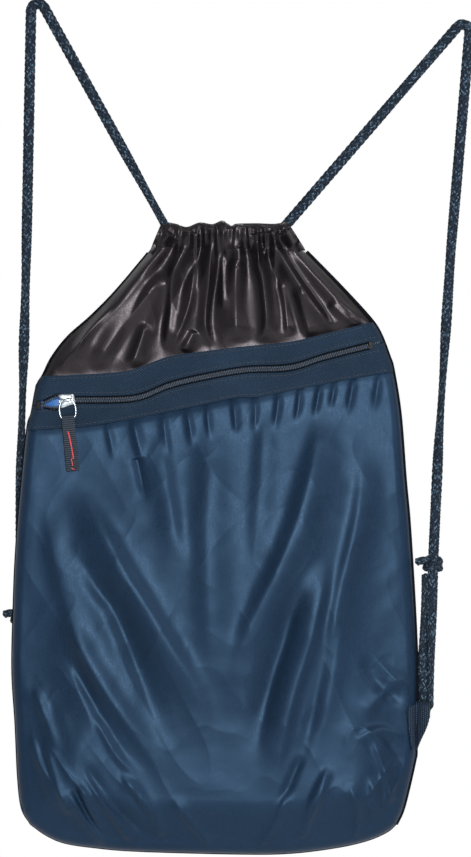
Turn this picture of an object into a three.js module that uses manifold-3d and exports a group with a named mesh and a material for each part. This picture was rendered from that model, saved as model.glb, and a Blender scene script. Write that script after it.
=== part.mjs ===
// Drawstring backpack, hanging by its two shoulder cords. Millimetres, +Z up, X to the wearer's
// right as seen from the front, the front facing -Y. The origin is midway between the tops of the
// two loops that the cords make over their hooks.
import * as THREE from 'three';
import { mergeVertices } from 'three/addons/utils/BufferGeometryUtils.js';
import Module from 'manifold-3d';

const wasm = await Module();
wasm.setup();

// ---------- driving dimensions ----------
const bodyWidth = 315.6; // widest place, across the lower half
const bodyHeight = 474.5; // from the underside of the hem to the bottom seam
const bodyCentreX = -28.2; // the bag hangs off centre between the hooks
const hemBaseZ = -180.3; // where the panels end and the cord channel starts
const cornerHeight = 80; // of the rounded bottom corners
const cornerPower = 3.6;
const edgeDepth = 9; // seam plane to the flat face, front and back
const edgeRound = 8.5; // radius of the rolled side edges
const frontBulge = 14; // how much further the front swells below the zip
const backBulge = 6;
const neckDepth = 13.5; // seam plane to the face at the neck
const wall = 1.2; // cloth with its turned edges
const gap = 0.3; // between pieces that touch
const liningInset = 4.3; // outside of the front down to the pocket's back wall
const liningWall = 1;
const bindingDepth = 5; // of the tape over the inside seams, across the seam plane

const zipTilt = THREE.MathUtils.degToRad(10.24); // rises to the right
const zipLeftMargin = 6.2; // from the left edge of the bag to the end of the chain
const zipRightMargin = 12.6;
const zipDropAtLeft = 124.3; // below the hem's underside
const bandAbove = 20; // band fabric over and under the chain
const bandBelow = 21;
const bandSlit = 5.4; // half the slit between the two folded band edges
const chainParting = 0.7; // half the space between the two rows of teeth
const coilWidth = 2.3;
const coilDepth = 2;
const tapeWidth = 11.5;
const tapeDepth = 0.8;
const stopLength = 3;

const sliderLength = 12;
const sliderTail = 8; // width where the joined chain leaves it
const sliderMouth = 10.4; // width where the two rows enter
const sliderPlate = 1.3;
const sliderPost = 0.8; // thickness of the wedge between the rows
const sliderRest = 20.6; // from the left end of the chain to the slider's middle
const bailWidth = 2.5;
const bailBar = 1;
const pullTilt = THREE.MathUtils.degToRad(5.1); // how the pull leans as it hangs
const ringWire = 1.3;
const ringRadius = 6.6;
const ringHeight = 14.4;
const footPower = 8; // how squarely the sides of the pull meet its straight foot
const ribbonWidth = 10;
const ribbonLength = 43;
const ribbonLayer = 0.7;
const bartackLength = 21;
const bartackDrop = 11; // below the top of the ribbon

const cordDiameter = 6;
const hemLeft = -70;
const hemRight = 29;
const hemHeight = 16;
const mouthHalf = 8; // half the way through between the two channels
const channelWall = 1;
const slitLength = 20; // of the opening at each end of a channel's top
const hookBend = 5.5; // of a cord's middle over its hook
const exitBend = 12;
const cordStep = 34; // along the straight runs
const tabBend = 3.2;
const leftHookOut = -15.2; // where the cord's line would turn, out from the bag's widest place
const leftHookZ = 23.2;
const rightHookOut = 42.7;
const rightHookZ = 3.1;
const tabRise = 113.8; // of a tab's eye over the bottom seam
const tabEyeWidth = 3;
const tabLayer = 1.2;
const tabStemHeight = 24;
const tabWidth = 10;
const knotHeight = 15;
const knotRadius = 7.2;
const tailLength = 9;
const leftKnotRise = 71; // over its tab's eye
const rightKnotRise = 113;

// ---------- derived places ----------
const bottomZ = hemBaseZ - bodyHeight;
const tabEyeZ = bottomZ + tabRise;
const leftKnotZ = tabEyeZ + leftKnotRise;
const rightKnotZ = tabEyeZ + rightKnotRise;
const cordRadius = cordDiameter / 2;
const cordClearance = cordRadius + gap;
const channelDepth = 2 * (cordClearance + channelWall + 0.25);
const channelY = mouthHalf + channelDepth / 2;
const hemMidZ = hemBaseZ + gap + hemHeight / 2;

// Half-outline of the flat bag: share of the height from the hem down, share of the width out
// from the centre line. Below the last point the corner rounds off.
const leftEdge = [
  [0, 0.152],
  [0.072, 0.24],
  [0.125, 0.317],
  [0.183, 0.401],
  [0.232, 0.438],
  [0.279, 0.452],
  [0.43, 0.483],
  [0.62, 0.497],
  [0.7, 0.5],
  [1, 0.5],
];
const rightEdge = [
  [0, 0.2],
  [0.072, 0.318],
  [0.12, 0.384],
  [0.146, 0.409],
  [0.184, 0.431],
  [0.279, 0.459],
  [0.386, 0.472],
  [0.57, 0.491],
  [0.695, 0.5],
  [1, 0.5],
];

function alongEdge(edge, share) {
  const k = Math.max(1, edge.findIndex((p) => p[0] >= share));
  const [s0, w0] = edge[k - 1];
  const [s1, w1] = edge[k];
  return w0 + ((w1 - w0) * (share - s0)) / (s1 - s0);
}

// X of a side edge at a height; side is -1 for the left and 1 for the right. An inset takes the
// edge and the bottom in by that much.
function edgeX(side, z, inset = 0) {
  const share = THREE.MathUtils.clamp((hemBaseZ - z) / bodyHeight, 0, 1);
  const out = alongEdge(side < 0 ? leftEdge : rightEdge, share) * bodyWidth;
  const deep = bottomZ + inset + cornerHeight - z;
  const low = THREE.MathUtils.clamp(deep / cornerHeight, 0, 0.9995);
  const reach = out * (1 - low ** cornerPower) ** (1 / cornerPower) - inset;
  return bodyCentreX + side * reach;
}

const zipStart = new THREE.Vector3(0, 0, hemBaseZ - zipDropAtLeft);
zipStart.x = edgeX(-1, zipStart.z) + zipLeftMargin;

function zipZ(x) {
  return zipStart.z + (x - zipStart.x) * Math.tan(zipTilt);
}

function findZipEnd() {
  let x = 0;
  for (let pass = 0; pass < 20; pass += 1) {
    x = edgeX(1, zipZ(x)) - zipRightMargin;
  }
  return x;
}
const zipLength = (findZipEnd() - zipStart.x) / Math.cos(zipTilt);

// ---------- solids ----------
function solidOf(geometry) {
  const bare = new THREE.BufferGeometry();
  const flat = geometry.index ? geometry.toNonIndexed() : geometry;
  bare.setAttribute('position', flat.getAttribute('position'));
  const merged = mergeVertices(bare, 1e-4);
  const mesh = new wasm.Mesh({
    numProp: 3,
    vertProperties: new Float32Array(merged.getAttribute('position').array),
    triVerts: new Uint32Array(merged.index.array),
  });
  return new wasm.Manifold(mesh);
}

function geometryOf(solid) {
  const mesh = solid.getMesh();
  const geometry = new THREE.BufferGeometry();
  geometry.setAttribute('position', new THREE.BufferAttribute(mesh.vertProperties, 3));
  geometry.setIndex(new THREE.BufferAttribute(mesh.triVerts, 1));
  return geometry;
}

function box(x0, x1, y0, y1, z0, z1) {
  const geometry = new THREE.BoxGeometry(x1 - x0, y1 - y0, z1 - z0);
  geometry.translate((x0 + x1) / 2, (y0 + y1) / 2, (z0 + z1) / 2);
  return geometry;
}


// A shape drawn in X and Z, given its thickness along Y from y0 to y1.
function plate(shape, y0, y1) {
  const geometry = new THREE.ExtrudeGeometry(shape, {
    depth: y1 - y0,
    bevelEnabled: false,
    curveSegments: 8,
  });
  geometry.rotateX(Math.PI / 2);
  geometry.translate(0, y1, 0);
  return geometry;
}

const profileTurn = new THREE.Matrix4().makeBasis(
  new THREE.Vector3(0, 1, 0),
  new THREE.Vector3(0, 0, 1),
  new THREE.Vector3(1, 0, 0),
);

// A shape drawn in Y and Z, drawn out along X from x0 to x1.
function bar(shape, x0, x1) {
  const geometry = new THREE.ExtrudeGeometry(shape, {
    depth: x1 - x0,
    bevelEnabled: false,
    curveSegments: 8,
  });
  geometry.translate(0, 0, x0);
  geometry.applyMatrix4(profileTurn);
  return geometry;
}

function shapeOf(points) {
  return new THREE.Shape(points.map(([x, y]) => new THREE.Vector2(x, y)));
}

// A closed skin through rings of equally many points, with flat ends.
function loft(rings) {
  const count = rings[0].length;
  const positions = rings.flat().flatMap((p) => [p.x, p.y, p.z]);
  const index = [];
  for (let i = 0; i + 1 < rings.length; i += 1) {
    for (let k = 0; k < count; k += 1) {
      const a = i * count + k;
      const b = i * count + ((k + 1) % count);
      index.push(a, b, b + count, a, b + count, a + count);
    }
  }
  const last = (rings.length - 1) * count;
  for (let k = 1; k + 1 < count; k += 1) {
    index.push(0, k + 1, k);
    index.push(last, last + k, last + k + 1);
  }
  const geometry = new THREE.BufferGeometry();
  geometry.setAttribute('position', new THREE.Float32BufferAttribute(positions, 3));
  geometry.setIndex(index);
  return geometry;
}

// ---------- the bag's cloth shells ----------
const smooth = THREE.MathUtils.smoothstep;

// Depth of the bag's face before the wall is taken off; side is -1 for the front, 1 for the back.
function faceDepth(side, x, z, inset) {
  const left = edgeX(-1, z, inset);
  const right = edgeX(1, z, inset);
  const across = THREE.MathUtils.clamp((2 * x - left - right) / (right - left), -1, 1);
  const toEdge = ((1 - Math.abs(across)) * (right - left)) / 2;
  const roll = Math.min(1, toEdge / Math.min(edgeRound, (right - left) / 4));
  const rise = THREE.MathUtils.clamp((z - bottomZ - inset) / edgeRound, 0, 1);
  const neck = smooth(z, hemBaseZ - 70, hemBaseZ);
  const flat = edgeDepth + (neckDepth - edgeDepth) * neck - inset;
  const below = zipZ(x) - bandBelow - z;
  const swell = smooth(below, 0, 150) * smooth(z, bottomZ, bottomZ + 110);
  const bulge = (side < 0 ? frontBulge : backBulge) * swell * (1 - across * across) ** 1.5;
  const round = Math.sqrt(1 - (1 - roll) ** 2) * Math.sqrt(1 - (1 - rise) ** 2);
  return side * (flat * round + bulge);
}

// Rows of the cloth up from the bottom seam, close together over the rounded corners; above the
// corners they are shares of the height.
const cornerRows = [0.15, 1.5, 4.5, 9, 18, 32, 52, 76];
const upperRows = [0.24, 0.34, 0.45, 0.57, 0.68, 0.735, 0.777, 0.82, 0.865, 0.92, 0.97];
const rollSteps = [0, 0.06, 0.3, 1]; // shares of the rolled edge
const innerSteps = 9;

function sectionXs(z, inset) {
  const left = edgeX(-1, z, inset);
  const right = edgeX(1, z, inset);
  const roll = Math.min(edgeRound, (right - left) / 4);
  const lefts = rollSteps.map((share) => left + share * roll);
  const rights = rollSteps.map((share) => right - share * roll).reverse();
  const inner = [];
  for (let k = 1; k < innerSteps; k += 1) {
    inner.push(left + roll + ((right - left - 2 * roll) * k) / innerSteps);
  }
  return [...lefts, ...inner, ...rights];
}

// The solid of the whole bag, taken in by an inset all round but for its open top.
function pillow(inset, over) {
  const low = cornerRows.map((h) => bottomZ + inset + h);
  const rows = [...low, ...upperRows.map((share) => bottomZ + share * bodyHeight), hemBaseZ];
  const rings = rows.map((z) => {
    const xs = sectionXs(z, inset);
    const front = xs.map((x) => new THREE.Vector3(x, faceDepth(-1, x, z, inset), z));
    const back = xs.slice(1, -1).map((x) => new THREE.Vector3(x, faceDepth(1, x, z, inset), z));
    return [...front, ...back.reverse()];
  });
  const top = rings[rings.length - 1];
  if (over > 0) {
    rings.push(top.map((p) => new THREE.Vector3(p.x, p.y, p.z + over)));
  }
  return solidOf(loft(rings));
}

const far = 1000;
const topOver = 5;
const frontHalf = solidOf(box(-far, far, -far, -gap / 2, -far, far));
const backHalf = solidOf(box(-far, far, gap / 2, far, -far, far));

// The part of a shell between two lines that run along the zip, measured up from the chain.
function alongZip(low, high) {
  const rise = (x, up) => zipZ(x) + up / Math.cos(zipTilt);
  const shape = shapeOf([
    [-far, rise(-far, low)],
    [far, rise(far, low)],
    [far, rise(far, high)],
    [-far, rise(-far, high)],
  ]);
  return solidOf(plate(shape, -far, far));
}

const clothShell = pillow(0, 0).subtract(pillow(wall, topOver));
const frontShell = clothShell.intersect(frontHalf);
const yoke = frontShell.intersect(alongZip(bandAbove + gap, 2 * far));
const bandTop = frontShell.intersect(alongZip(bandSlit, bandAbove));
const bandLow = frontShell.intersect(alongZip(-bandBelow, -bandSlit));
const pocketPanel = frontShell.intersect(alongZip(-2 * far, -bandBelow - gap));
const backPanel = clothShell.intersect(backHalf);
const liningShell = pillow(liningInset, 0).subtract(pillow(liningInset + liningWall, topOver));
const lining = liningShell.intersect(frontHalf).intersect(alongZip(-2 * far, bandAbove));

const seamZone = solidOf(box(-far, far, -bindingDepth / 2, bindingDepth / 2, -far, far));
const bindingShell = pillow(wall + gap, 0).subtract(pillow(liningInset - gap, topOver));
const binding = bindingShell.intersect(seamZone).intersect(alongZip(-2 * far, bandAbove));
const bindingBreak = bottomZ + cornerHeight;
const bindingLow = solidOf(box(-far, far, -far, far, -far, bindingBreak));
const bindingLeft = solidOf(box(-far, bodyCentreX, -far, far, bindingBreak + gap, far));
const bindingRight = solidOf(box(bodyCentreX, far, -far, far, bindingBreak + gap, far));

// ---------- cord channels at the mouth ----------
const hemBottom = hemBaseZ + gap;

// A channel along the mouth's edge; side is -1 for the front one. Its cord leaves at the left
// end of the front channel and at the right end of the back one, through a slit in the top.
function channel(side) {
  const y0 = channelY - channelDepth / 2;
  const outer = box(hemLeft, hemRight, y0, y0 + channelDepth, hemBottom, hemBottom + hemHeight);
  const hollow = box(
    hemLeft - 1,
    hemRight + 1,
    y0 + channelWall,
    y0 + channelDepth - channelWall,
    hemBottom + channelWall,
    hemBottom + hemHeight - channelWall,
  );
  const slitFrom = side < 0 ? hemLeft - 1 : hemRight - slitLength;
  const slit = box(
    slitFrom,
    slitFrom + slitLength + 1,
    y0 + channelWall,
    y0 + channelDepth - channelWall,
    hemMidZ,
    hemBottom + hemHeight + 1,
  );
  const solid = solidOf(outer).subtract(solidOf(hollow)).subtract(solidOf(slit));
  return side < 0 ? solid.mirror([0, 1, 0]) : solid;
}

// ---------- cords ----------
// A route along straight runs and round bends: each corner is its point and its bend's radius.
function routePoints(corners, straightStep) {
  const points = [corners[0][0].clone()];
  for (let k = 1; k < corners.length; k += 1) {
    const [corner, radius] = corners[k];
    const from = points[points.length - 1];
    let stop = corner;
    let arc = [];
    if (radius > 0) {
      const inward = corner.clone().sub(from).normalize();
      const outward = corners[k + 1][0].clone().sub(corner).normalize();
      const turn = inward.angleTo(outward);
      const reach = radius * Math.tan(turn / 2);
      stop = corner.clone().addScaledVector(inward, -reach);
      const steps = Math.max(1, Math.round(turn / THREE.MathUtils.degToRad(30)));
      const axis = inward.clone().cross(outward).normalize();
      const toCentre = axis.clone().cross(inward).multiplyScalar(radius);
      const centre = stop.clone().add(toCentre);
      for (let s = 1; s <= steps; s += 1) {
        const arm = toCentre.clone().negate().applyAxisAngle(axis, (turn * s) / steps);
        arc.push(centre.clone().add(arm));
      }
    }
    const runs = Math.max(1, Math.round(from.distanceTo(stop) / straightStep));
    for (let s = 1; s <= runs; s += 1) {
      points.push(from.clone().lerp(stop, s / runs));
    }
    points.push(...arc);
  }
  return points;
}

// A curve that steps from one route point to the next.
class Route extends THREE.Curve {
  constructor(points) {
    super();
    this.points = points;
  }

  getUtoTmapping(u) {
    return u;
  }

  getPoint(t) {
    const place = t * (this.points.length - 1);
    const k = Math.min(Math.floor(place), this.points.length - 2);
    return this.points[k].clone().lerp(this.points[k + 1], place - k);
  }

  getTangent(t) {
    const k = Math.round(t * (this.points.length - 1));
    const before = this.points[Math.max(0, k - 1)];
    const after = this.points[Math.min(this.points.length - 1, k + 1)];
    return after.clone().sub(before).normalize();
  }
}

function roundSection(radius, sides) {
  const corners = [];
  for (let k = 0; k < sides; k += 1) {
    const angle = (2 * Math.PI * (k + 0.5)) / sides;
    corners.push([radius * Math.cos(angle), radius * Math.sin(angle)]);
  }
  return shapeOf(corners);
}

function cordAlong(corners) {
  const route = new Route(routePoints(corners, cordStep));
  return new THREE.ExtrudeGeometry(roundSection(cordRadius, 8), {
    steps: route.points.length - 1,
    extrudePath: route,
    bevelEnabled: false,
  });
}

const at = (x, y, z) => new THREE.Vector3(x, y, z);

// The knot is a fat ring round the cord that passes through it, with the cord's tail drawn out.
function knot(middle, tailTurn) {
  const bore = cordClearance + 0.15;
  const half = knotHeight / 2;
  const profile = [
    [bore, -half],
    [bore + 1.6, -half],
    [knotRadius, -half * 0.5],
    [knotRadius, half * 0.4],
    [bore + 1.8, half],
    [bore, half],
    [bore, -half],
  ];
  const turned = new THREE.LatheGeometry(profile.map(([x, y]) => new THREE.Vector2(x, y)), 12);
  turned.rotateX(Math.PI / 2);
  const tail = new THREE.CylinderGeometry(cordRadius, cordRadius, tailLength, 8);
  tail.rotateZ(Math.PI / 2);
  tail.translate(-knotRadius + 2 - tailLength / 2, 0, 0);
  tail.rotateY(tailTurn);
  return solidOf(turned).add(solidOf(tail)).translate([middle.x, middle.y, middle.z]);
}

// ---------- webbing tabs in the side seams ----------
const eyeOuter = cordClearance + tabLayer + 0.6;
const tabLowZ = tabEyeZ - 8 - tabStemHeight;

// The eye that the cord goes through, closed round it at the top of the folded webbing.
function tabEye(x, y) {
  const ring = new THREE.Shape();
  ring.absarc(0, 0, eyeOuter, 0, 2 * Math.PI);
  const hole = new THREE.Path();
  hole.absarc(0, 0, cordClearance, 0, 2 * Math.PI, true);
  ring.holes.push(hole);
  const eye = bar(ring, -tabEyeWidth / 2, tabEyeWidth / 2);
  eye.translate(x, y, tabEyeZ);
  return solidOf(eye);
}

function stemShape(x0, x1, xEye) {
  const top = tabEyeZ - cordClearance - 0.5;
  return shapeOf([
    [x0, tabLowZ],
    [x1, tabLowZ + tabStemHeight * 0.45],
    [x1, tabLowZ + tabStemHeight],
    [xEye + tabEyeWidth / 2, top],
    [xEye - tabEyeWidth / 2, top],
    [x0, tabLowZ + tabStemHeight],
  ]);
}

const seamRight = Math.max(edgeX(1, tabLowZ), edgeX(1, tabLowZ + tabStemHeight)) + gap;
const strandHalf = tabEyeWidth / 2 + gap + cordRadius;
const rightEye = at(seamRight + strandHalf + cordRadius + 0.2, 0, tabEyeZ);

function rightTab() {
  const shape = stemShape(seamRight, seamRight + tabWidth, rightEye.x);
  return solidOf(plate(shape, -tabLayer, tabLayer)).add(tabEye(rightEye.x, 0));
}

// The left tab turns back behind the bag, where its cord hangs.
const seamLeft = Math.min(edgeX(-1, tabLowZ), edgeX(-1, tabLowZ + tabStemHeight)) - gap;
const behindY = edgeDepth + tabLayer + cordClearance + 1.3;
const leftEye = at(seamLeft + tabWidth, behindY, tabEyeZ);

function leftTab() {
  const shape = stemShape(leftEye.x - tabWidth / 2, leftEye.x + tabWidth / 2, leftEye.x);
  const stem = solidOf(plate(shape, behindY - tabLayer, behindY + tabLayer));
  const flapTop = tabLowZ + tabStemHeight;
  const outerX = seamLeft - 2 * tabLayer;
  const flap = new THREE.Shape();
  flap.moveTo(leftEye.x, behindY + tabLayer);
  flap.lineTo(seamLeft + 6, behindY + tabLayer);
  flap.quadraticCurveTo(outerX, behindY + tabLayer, outerX, 0);
  flap.lineTo(outerX, -tabLayer);
  flap.lineTo(seamLeft, -tabLayer);
  flap.lineTo(seamLeft, 1.5);
  flap.quadraticCurveTo(seamLeft, behindY - tabLayer, seamLeft + 6, behindY - tabLayer);
  flap.lineTo(leftEye.x, behindY - tabLayer);
  const geometry = new THREE.ExtrudeGeometry(flap, {
    depth: tabStemHeight * 0.5,
    bevelEnabled: false,
    curveSegments: 6,
  });
  geometry.translate(0, 0, flapTop - tabStemHeight * 0.75);
  return stem.add(solidOf(geometry)).add(tabEye(leftEye.x, behindY));
}

// ---------- the routes of the two shoulder cords ----------
const strandApart = cordDiameter + gap + 0.1; // between the strands under a knot
const channelCordLeft = hemLeft + 17;
const channelCordRight = hemRight - 17;
const leftKnot = at(leftEye.x - 4, edgeDepth + knotRadius - 0.4, leftKnotZ);
const leftHook = at(bodyCentreX - bodyWidth / 2 - leftHookOut, 0, leftHookZ);
const rightHook = at(bodyCentreX + bodyWidth / 2 + rightHookOut, 0, rightHookZ);
const rightKnot = at(seamRight + 12.5, 0, rightKnotZ);

const leftRoute = [
  [at(channelCordLeft - gap, -channelY, hemMidZ), 0],
  [at(hemLeft + 7.5, -channelY, hemMidZ), exitBend],
  [leftHook, hookBend],
  [leftHook.clone().lerp(leftKnot, 0.45).setY(0), 60],
  [at(leftKnot.x, leftKnot.y, leftKnotZ + 120), 60],
  [at(leftKnot.x, leftKnot.y, leftKnotZ - 12), 40],
  [at(leftEye.x - strandHalf, behindY, tabEyeZ), tabBend],
  [at(leftEye.x + strandHalf, behindY, tabEyeZ), tabBend],
  [at(leftKnot.x + strandApart, leftKnot.y, leftKnotZ - knotHeight / 2 - 12), 60],
  [at(leftKnot.x + strandApart, leftKnot.y, leftKnotZ - knotHeight / 2 - gap), 0],
];

const rightRoute = [
  [at(channelCordRight + gap, channelY, hemMidZ), 0],
  [at(hemRight - 8.5, channelY, hemMidZ), exitBend],
  [rightHook, hookBend],
  [rightHook.clone().lerp(rightKnot, 0.43).add(at(-3, 0, 0)), 60],
  [rightHook.clone().lerp(rightKnot, 0.78).add(at(-2.2, 0, 0)), 60],
  [at(rightKnot.x, 0, rightKnotZ), 60],
  [at(rightEye.x + strandHalf, 0, tabEyeZ), tabBend],
  [at(rightEye.x - strandHalf, 0, tabEyeZ), tabBend],
  [at(rightKnot.x - strandApart, 0, rightKnotZ - knotHeight / 2 - 12), 60],
  [at(rightKnot.x - strandApart, 0, rightKnotZ - knotHeight / 2 - gap), 0],
];

// ---------- the zip, along its own X from the left end of the chain ----------
const coilFront = -edgeDepth - 0.8;
const coilBack = coilFront + coilDepth;
const tapeFront = coilBack + gap;
const tapeBack = tapeFront + tapeDepth;
const plateBack = coilFront - gap;
const plateFront = plateBack - sliderPlate;
const underFront = tapeBack + gap;
const underBack = underFront + 1;

function rowOf(side, from, width, y0, y1) {
  const z0 = side > 0 ? from : -from - width;
  return box(0, zipLength, y0, y1, z0, z0 + width);
}

const zipPlace = new THREE.Matrix4()
  .makeRotationY(-zipTilt)
  .setPosition(zipStart);

// A tape is sewn behind the slit, and its ends are cut to the inside of the bag.
function tape(side) {
  const strip = rowOf(side, chainParting, tapeWidth, tapeFront, tapeBack);
  strip.applyMatrix4(zipPlace);
  return solidOf(strip).intersect(pillow(wall + gap, 0));
}

function sliderOutline() {
  const half = sliderLength / 2;
  return shapeOf([
    [half, -sliderTail / 2],
    [half, sliderTail / 2],
    [-half * 0.2, sliderMouth / 2],
    [-half * 0.7, sliderMouth / 2],
    [-half, sliderMouth / 2 - 1.6],
    [-half, -sliderMouth / 2 + 1.6],
    [-half * 0.7, -sliderMouth / 2],
    [-half * 0.2, -sliderMouth / 2],
  ]);
}

// Two plates and the wedge that joins them between the rows, cast in one piece with flanges.
function sliderBody() {
  const half = sliderLength / 2;
  const flange = chainParting + coilWidth + gap;
  const rim = plate(sliderOutline(), plateBack - 0.05, coilBack - gap);
  const inner = box(-half - 1, half + 1, plateBack - 1, coilBack + 1, -flange, flange);
  const post = box(-half, -half + 4, plateBack - 0.1, underFront + 0.1, -sliderPost / 2, sliderPost / 2);
  return solidOf(plate(sliderOutline(), plateFront, plateBack))
    .add(solidOf(rim).subtract(solidOf(inner)))
    .add(solidOf(post))
    .add(solidOf(plate(sliderOutline(), underFront, underBack)));
}

const wireY = plateFront - gap - ringWire / 2;
const barBack = wireY - ringWire / 2 - gap;
const bailRise = 1.1; // of the pull's pivot over the chain

// A bridge on the slider's face with the pull's wire under its bar.
function bail() {
  const footIn = ringWire / 2 + gap;
  const footOut = footIn + 1.4;
  const shape = shapeOf([
    [plateFront - gap, -footOut],
    [plateFront - gap, -footIn],
    [barBack, -footIn],
    [barBack, footIn],
    [plateFront - gap, footIn],
    [plateFront - gap, footOut],
    [barBack - bailBar * 0.4, footOut],
    [barBack - bailBar, footOut * 0.6],
    [barBack - bailBar, -footOut * 0.6],
    [barBack - bailBar * 0.4, -footOut],
  ]);
  const geometry = bar(shape, -bailWidth / 2, bailWidth / 2);
  geometry.translate(0, 0, bailRise);
  return geometry;
}

// A stirrup of wire hanging from its top: round above, with a straight foot for the ribbon.
function pullRing() {
  const geometry = new THREE.TorusGeometry(ringRadius, ringWire / 2, 8, 36);
  const position = geometry.getAttribute('position');
  const low = ringHeight - ringRadius;
  for (let k = 0; k < position.count; k += 1) {
    const x = position.getX(k);
    const y = position.getY(k);
    const angle = Math.atan2(y, x);
    const out = Math.hypot(x, y) - ringRadius;
    const cos = Math.cos(angle);
    const sin = Math.sin(angle);
    const power = sin < 0 ? footPower : 2;
    const reach = ringRadius / (Math.abs(cos) ** power + Math.abs(sin) ** power) ** (1 / power);
    const stretch = sin < 0 ? low / ringRadius : 1;
    const middle = new THREE.Vector2(reach * cos, reach * sin * stretch);
    const normal = new THREE.Vector2(cos ** (power - 1), Math.sign(sin) * Math.abs(sin) ** (power - 1));
    normal.x = Math.sign(cos) * Math.abs(normal.x);
    normal.normalize();
    position.setXY(k, middle.x + out * normal.x, middle.y + out * normal.y);
  }
  geometry.translate(0, -ringRadius, 0);
  geometry.rotateX(Math.PI / 2);
  return geometry;
}

// Grosgrain ribbon folded round the ring's foot and sewn to itself.
function pullRibbon() {
  const bore = ringWire / 2 + gap;
  const outer = bore + ribbonLayer;
  const shape = new THREE.Shape();
  shape.moveTo(-ribbonLayer, -ribbonLength);
  shape.lineTo(ribbonLayer, -ribbonLength);
  shape.lineTo(ribbonLayer, -outer - 1.2);
  shape.lineTo(outer, -outer * 0.5);
  shape.absarc(0, 0, outer, 0, Math.PI, false);
  shape.lineTo(-outer, -outer * 0.5);
  shape.lineTo(-ribbonLayer, -outer - 1.2);
  const hole = new THREE.Path();
  hole.absarc(0, 0, bore, 0, 2 * Math.PI, true);
  shape.holes.push(hole);
  return bar(shape, -ribbonWidth / 2, ribbonWidth / 2);
}

function bartack() {
  const front = -ribbonLayer - gap;
  const shape = shapeOf([
    [-2.4, -bartackDrop],
    [-0.6, -bartackDrop],
    [2.4, -bartackDrop - bartackLength],
    [0.8, -bartackDrop - bartackLength],
  ]);
  return plate(shape, front - 0.6, front);
}

// ---------- materials ----------
function finish(colour, roughness, metalness = 0) {
  return new THREE.MeshStandardMaterial({ color: colour, roughness, metalness });
}
const navyCloth = () => finish('#243c5e', 0.55);
const navyTwill = () => finish('#1f3250', 0.8);
const greySatin = () => finish('#3a3436', 0.35);
const blueLining = () => finish('#2f66b5', 0.6);
const blackTape = () => finish('#12161d', 0.85);
const brightMetal = () => finish('#c9ced4', 0.2, 1);
const cordBraid = () => finish('#18212f', 0.8);
const redThread = () => finish('#d3202e', 0.6);

function named(name, shape, material) {
  const geometry = shape instanceof wasm.Manifold ? geometryOf(shape) : shape;
  const mesh = new THREE.Mesh(geometry, material);
  mesh.name = name;
  return mesh;
}

// ---------- assembly ----------
const bag = new THREE.Group();
bag.add(
  named('back_panel', backPanel, greySatin()),
  named('yoke_front', yoke, greySatin()),
  named('zip_band_upper', bandTop, navyTwill()),
  named('zip_band_lower', bandLow, navyTwill()),
  named('pocket_panel', pocketPanel, navyCloth()),
  named('pocket_lining', lining, blueLining()),
  named('seam_binding_left', binding.intersect(bindingLeft), blackTape()),
  named('seam_binding_right', binding.intersect(bindingRight), blackTape()),
  named('seam_binding_bottom', binding.intersect(bindingLow), blackTape()),
  named('channel_front', channel(-1), greySatin()),
  named('channel_back', channel(1), greySatin()),
  named('tab_left', leftTab(), navyTwill()),
  named('tab_right', rightTab(), navyTwill()),
);

const cords = new THREE.Group();
cords.add(
  named('channel_cord_front', cordAlong([
    [at(channelCordLeft, -channelY, hemMidZ), 0],
    [at(hemRight - 4, -channelY, hemMidZ), 0],
  ]), cordBraid()),
  named('channel_cord_back', cordAlong([
    [at(channelCordRight, channelY, hemMidZ), 0],
    [at(hemLeft + 4, channelY, hemMidZ), 0],
  ]), cordBraid()),
  named('cord_left', cordAlong(leftRoute), cordBraid()),
  named('cord_right', cordAlong(rightRoute), cordBraid()),
  named('knot_left', knot(leftKnot, THREE.MathUtils.degToRad(20)), cordBraid()),
  named('knot_right', knot(rightKnot, THREE.MathUtils.degToRad(18)), cordBraid()),
);

const zip = new THREE.Group();
zip.position.copy(zipStart);
zip.rotation.y = -zipTilt;
for (const [side, word] of [[1, 'upper'], [-1, 'lower']]) {
  zip.add(
    named(`zip_coil_${word}`, rowOf(side, chainParting, coilWidth, coilFront, coilBack), blackTape()),
  );
  bag.add(named(`zip_tape_${word}`, tape(side), blackTape()));
}
for (const [x, word] of [[-stopLength - gap, 'left'], [zipLength + gap, 'right']]) {
  const reach = chainParting + coilWidth;
  const stop = box(x, x + stopLength, coilFront, coilBack, -reach, reach);
  zip.add(named(`zip_stop_${word}`, stop, blackTape()));
}

const slider = new THREE.Group();
slider.position.x = sliderRest;
slider.add(
  named('slider_body', sliderBody(), brightMetal()),
  named('slider_bail', bail(), brightMetal()),
);
const ring = new THREE.Group();
ring.position.set(0, wireY, bailRise);
ring.rotation.y = zipTilt - pullTilt;
ring.add(named('pull_ring', pullRing(), brightMetal()));
const ribbon = new THREE.Group();
ribbon.position.z = -ringHeight;
ribbon.add(
  named('pull_ribbon', pullRibbon(), blackTape()),
  named('pull_bartack', bartack(), redThread()),
);
ring.add(ribbon);
slider.add(ring);
zip.add(slider);

const backpack = new THREE.Group();
backpack.add(bag, cords, zip);
export default backpack;
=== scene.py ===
"""Drawstring backpack hanging by its cords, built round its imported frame. Metres, +Z up."""
import math

import bpy
import numpy as np
from mathutils import Matrix, Vector


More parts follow.
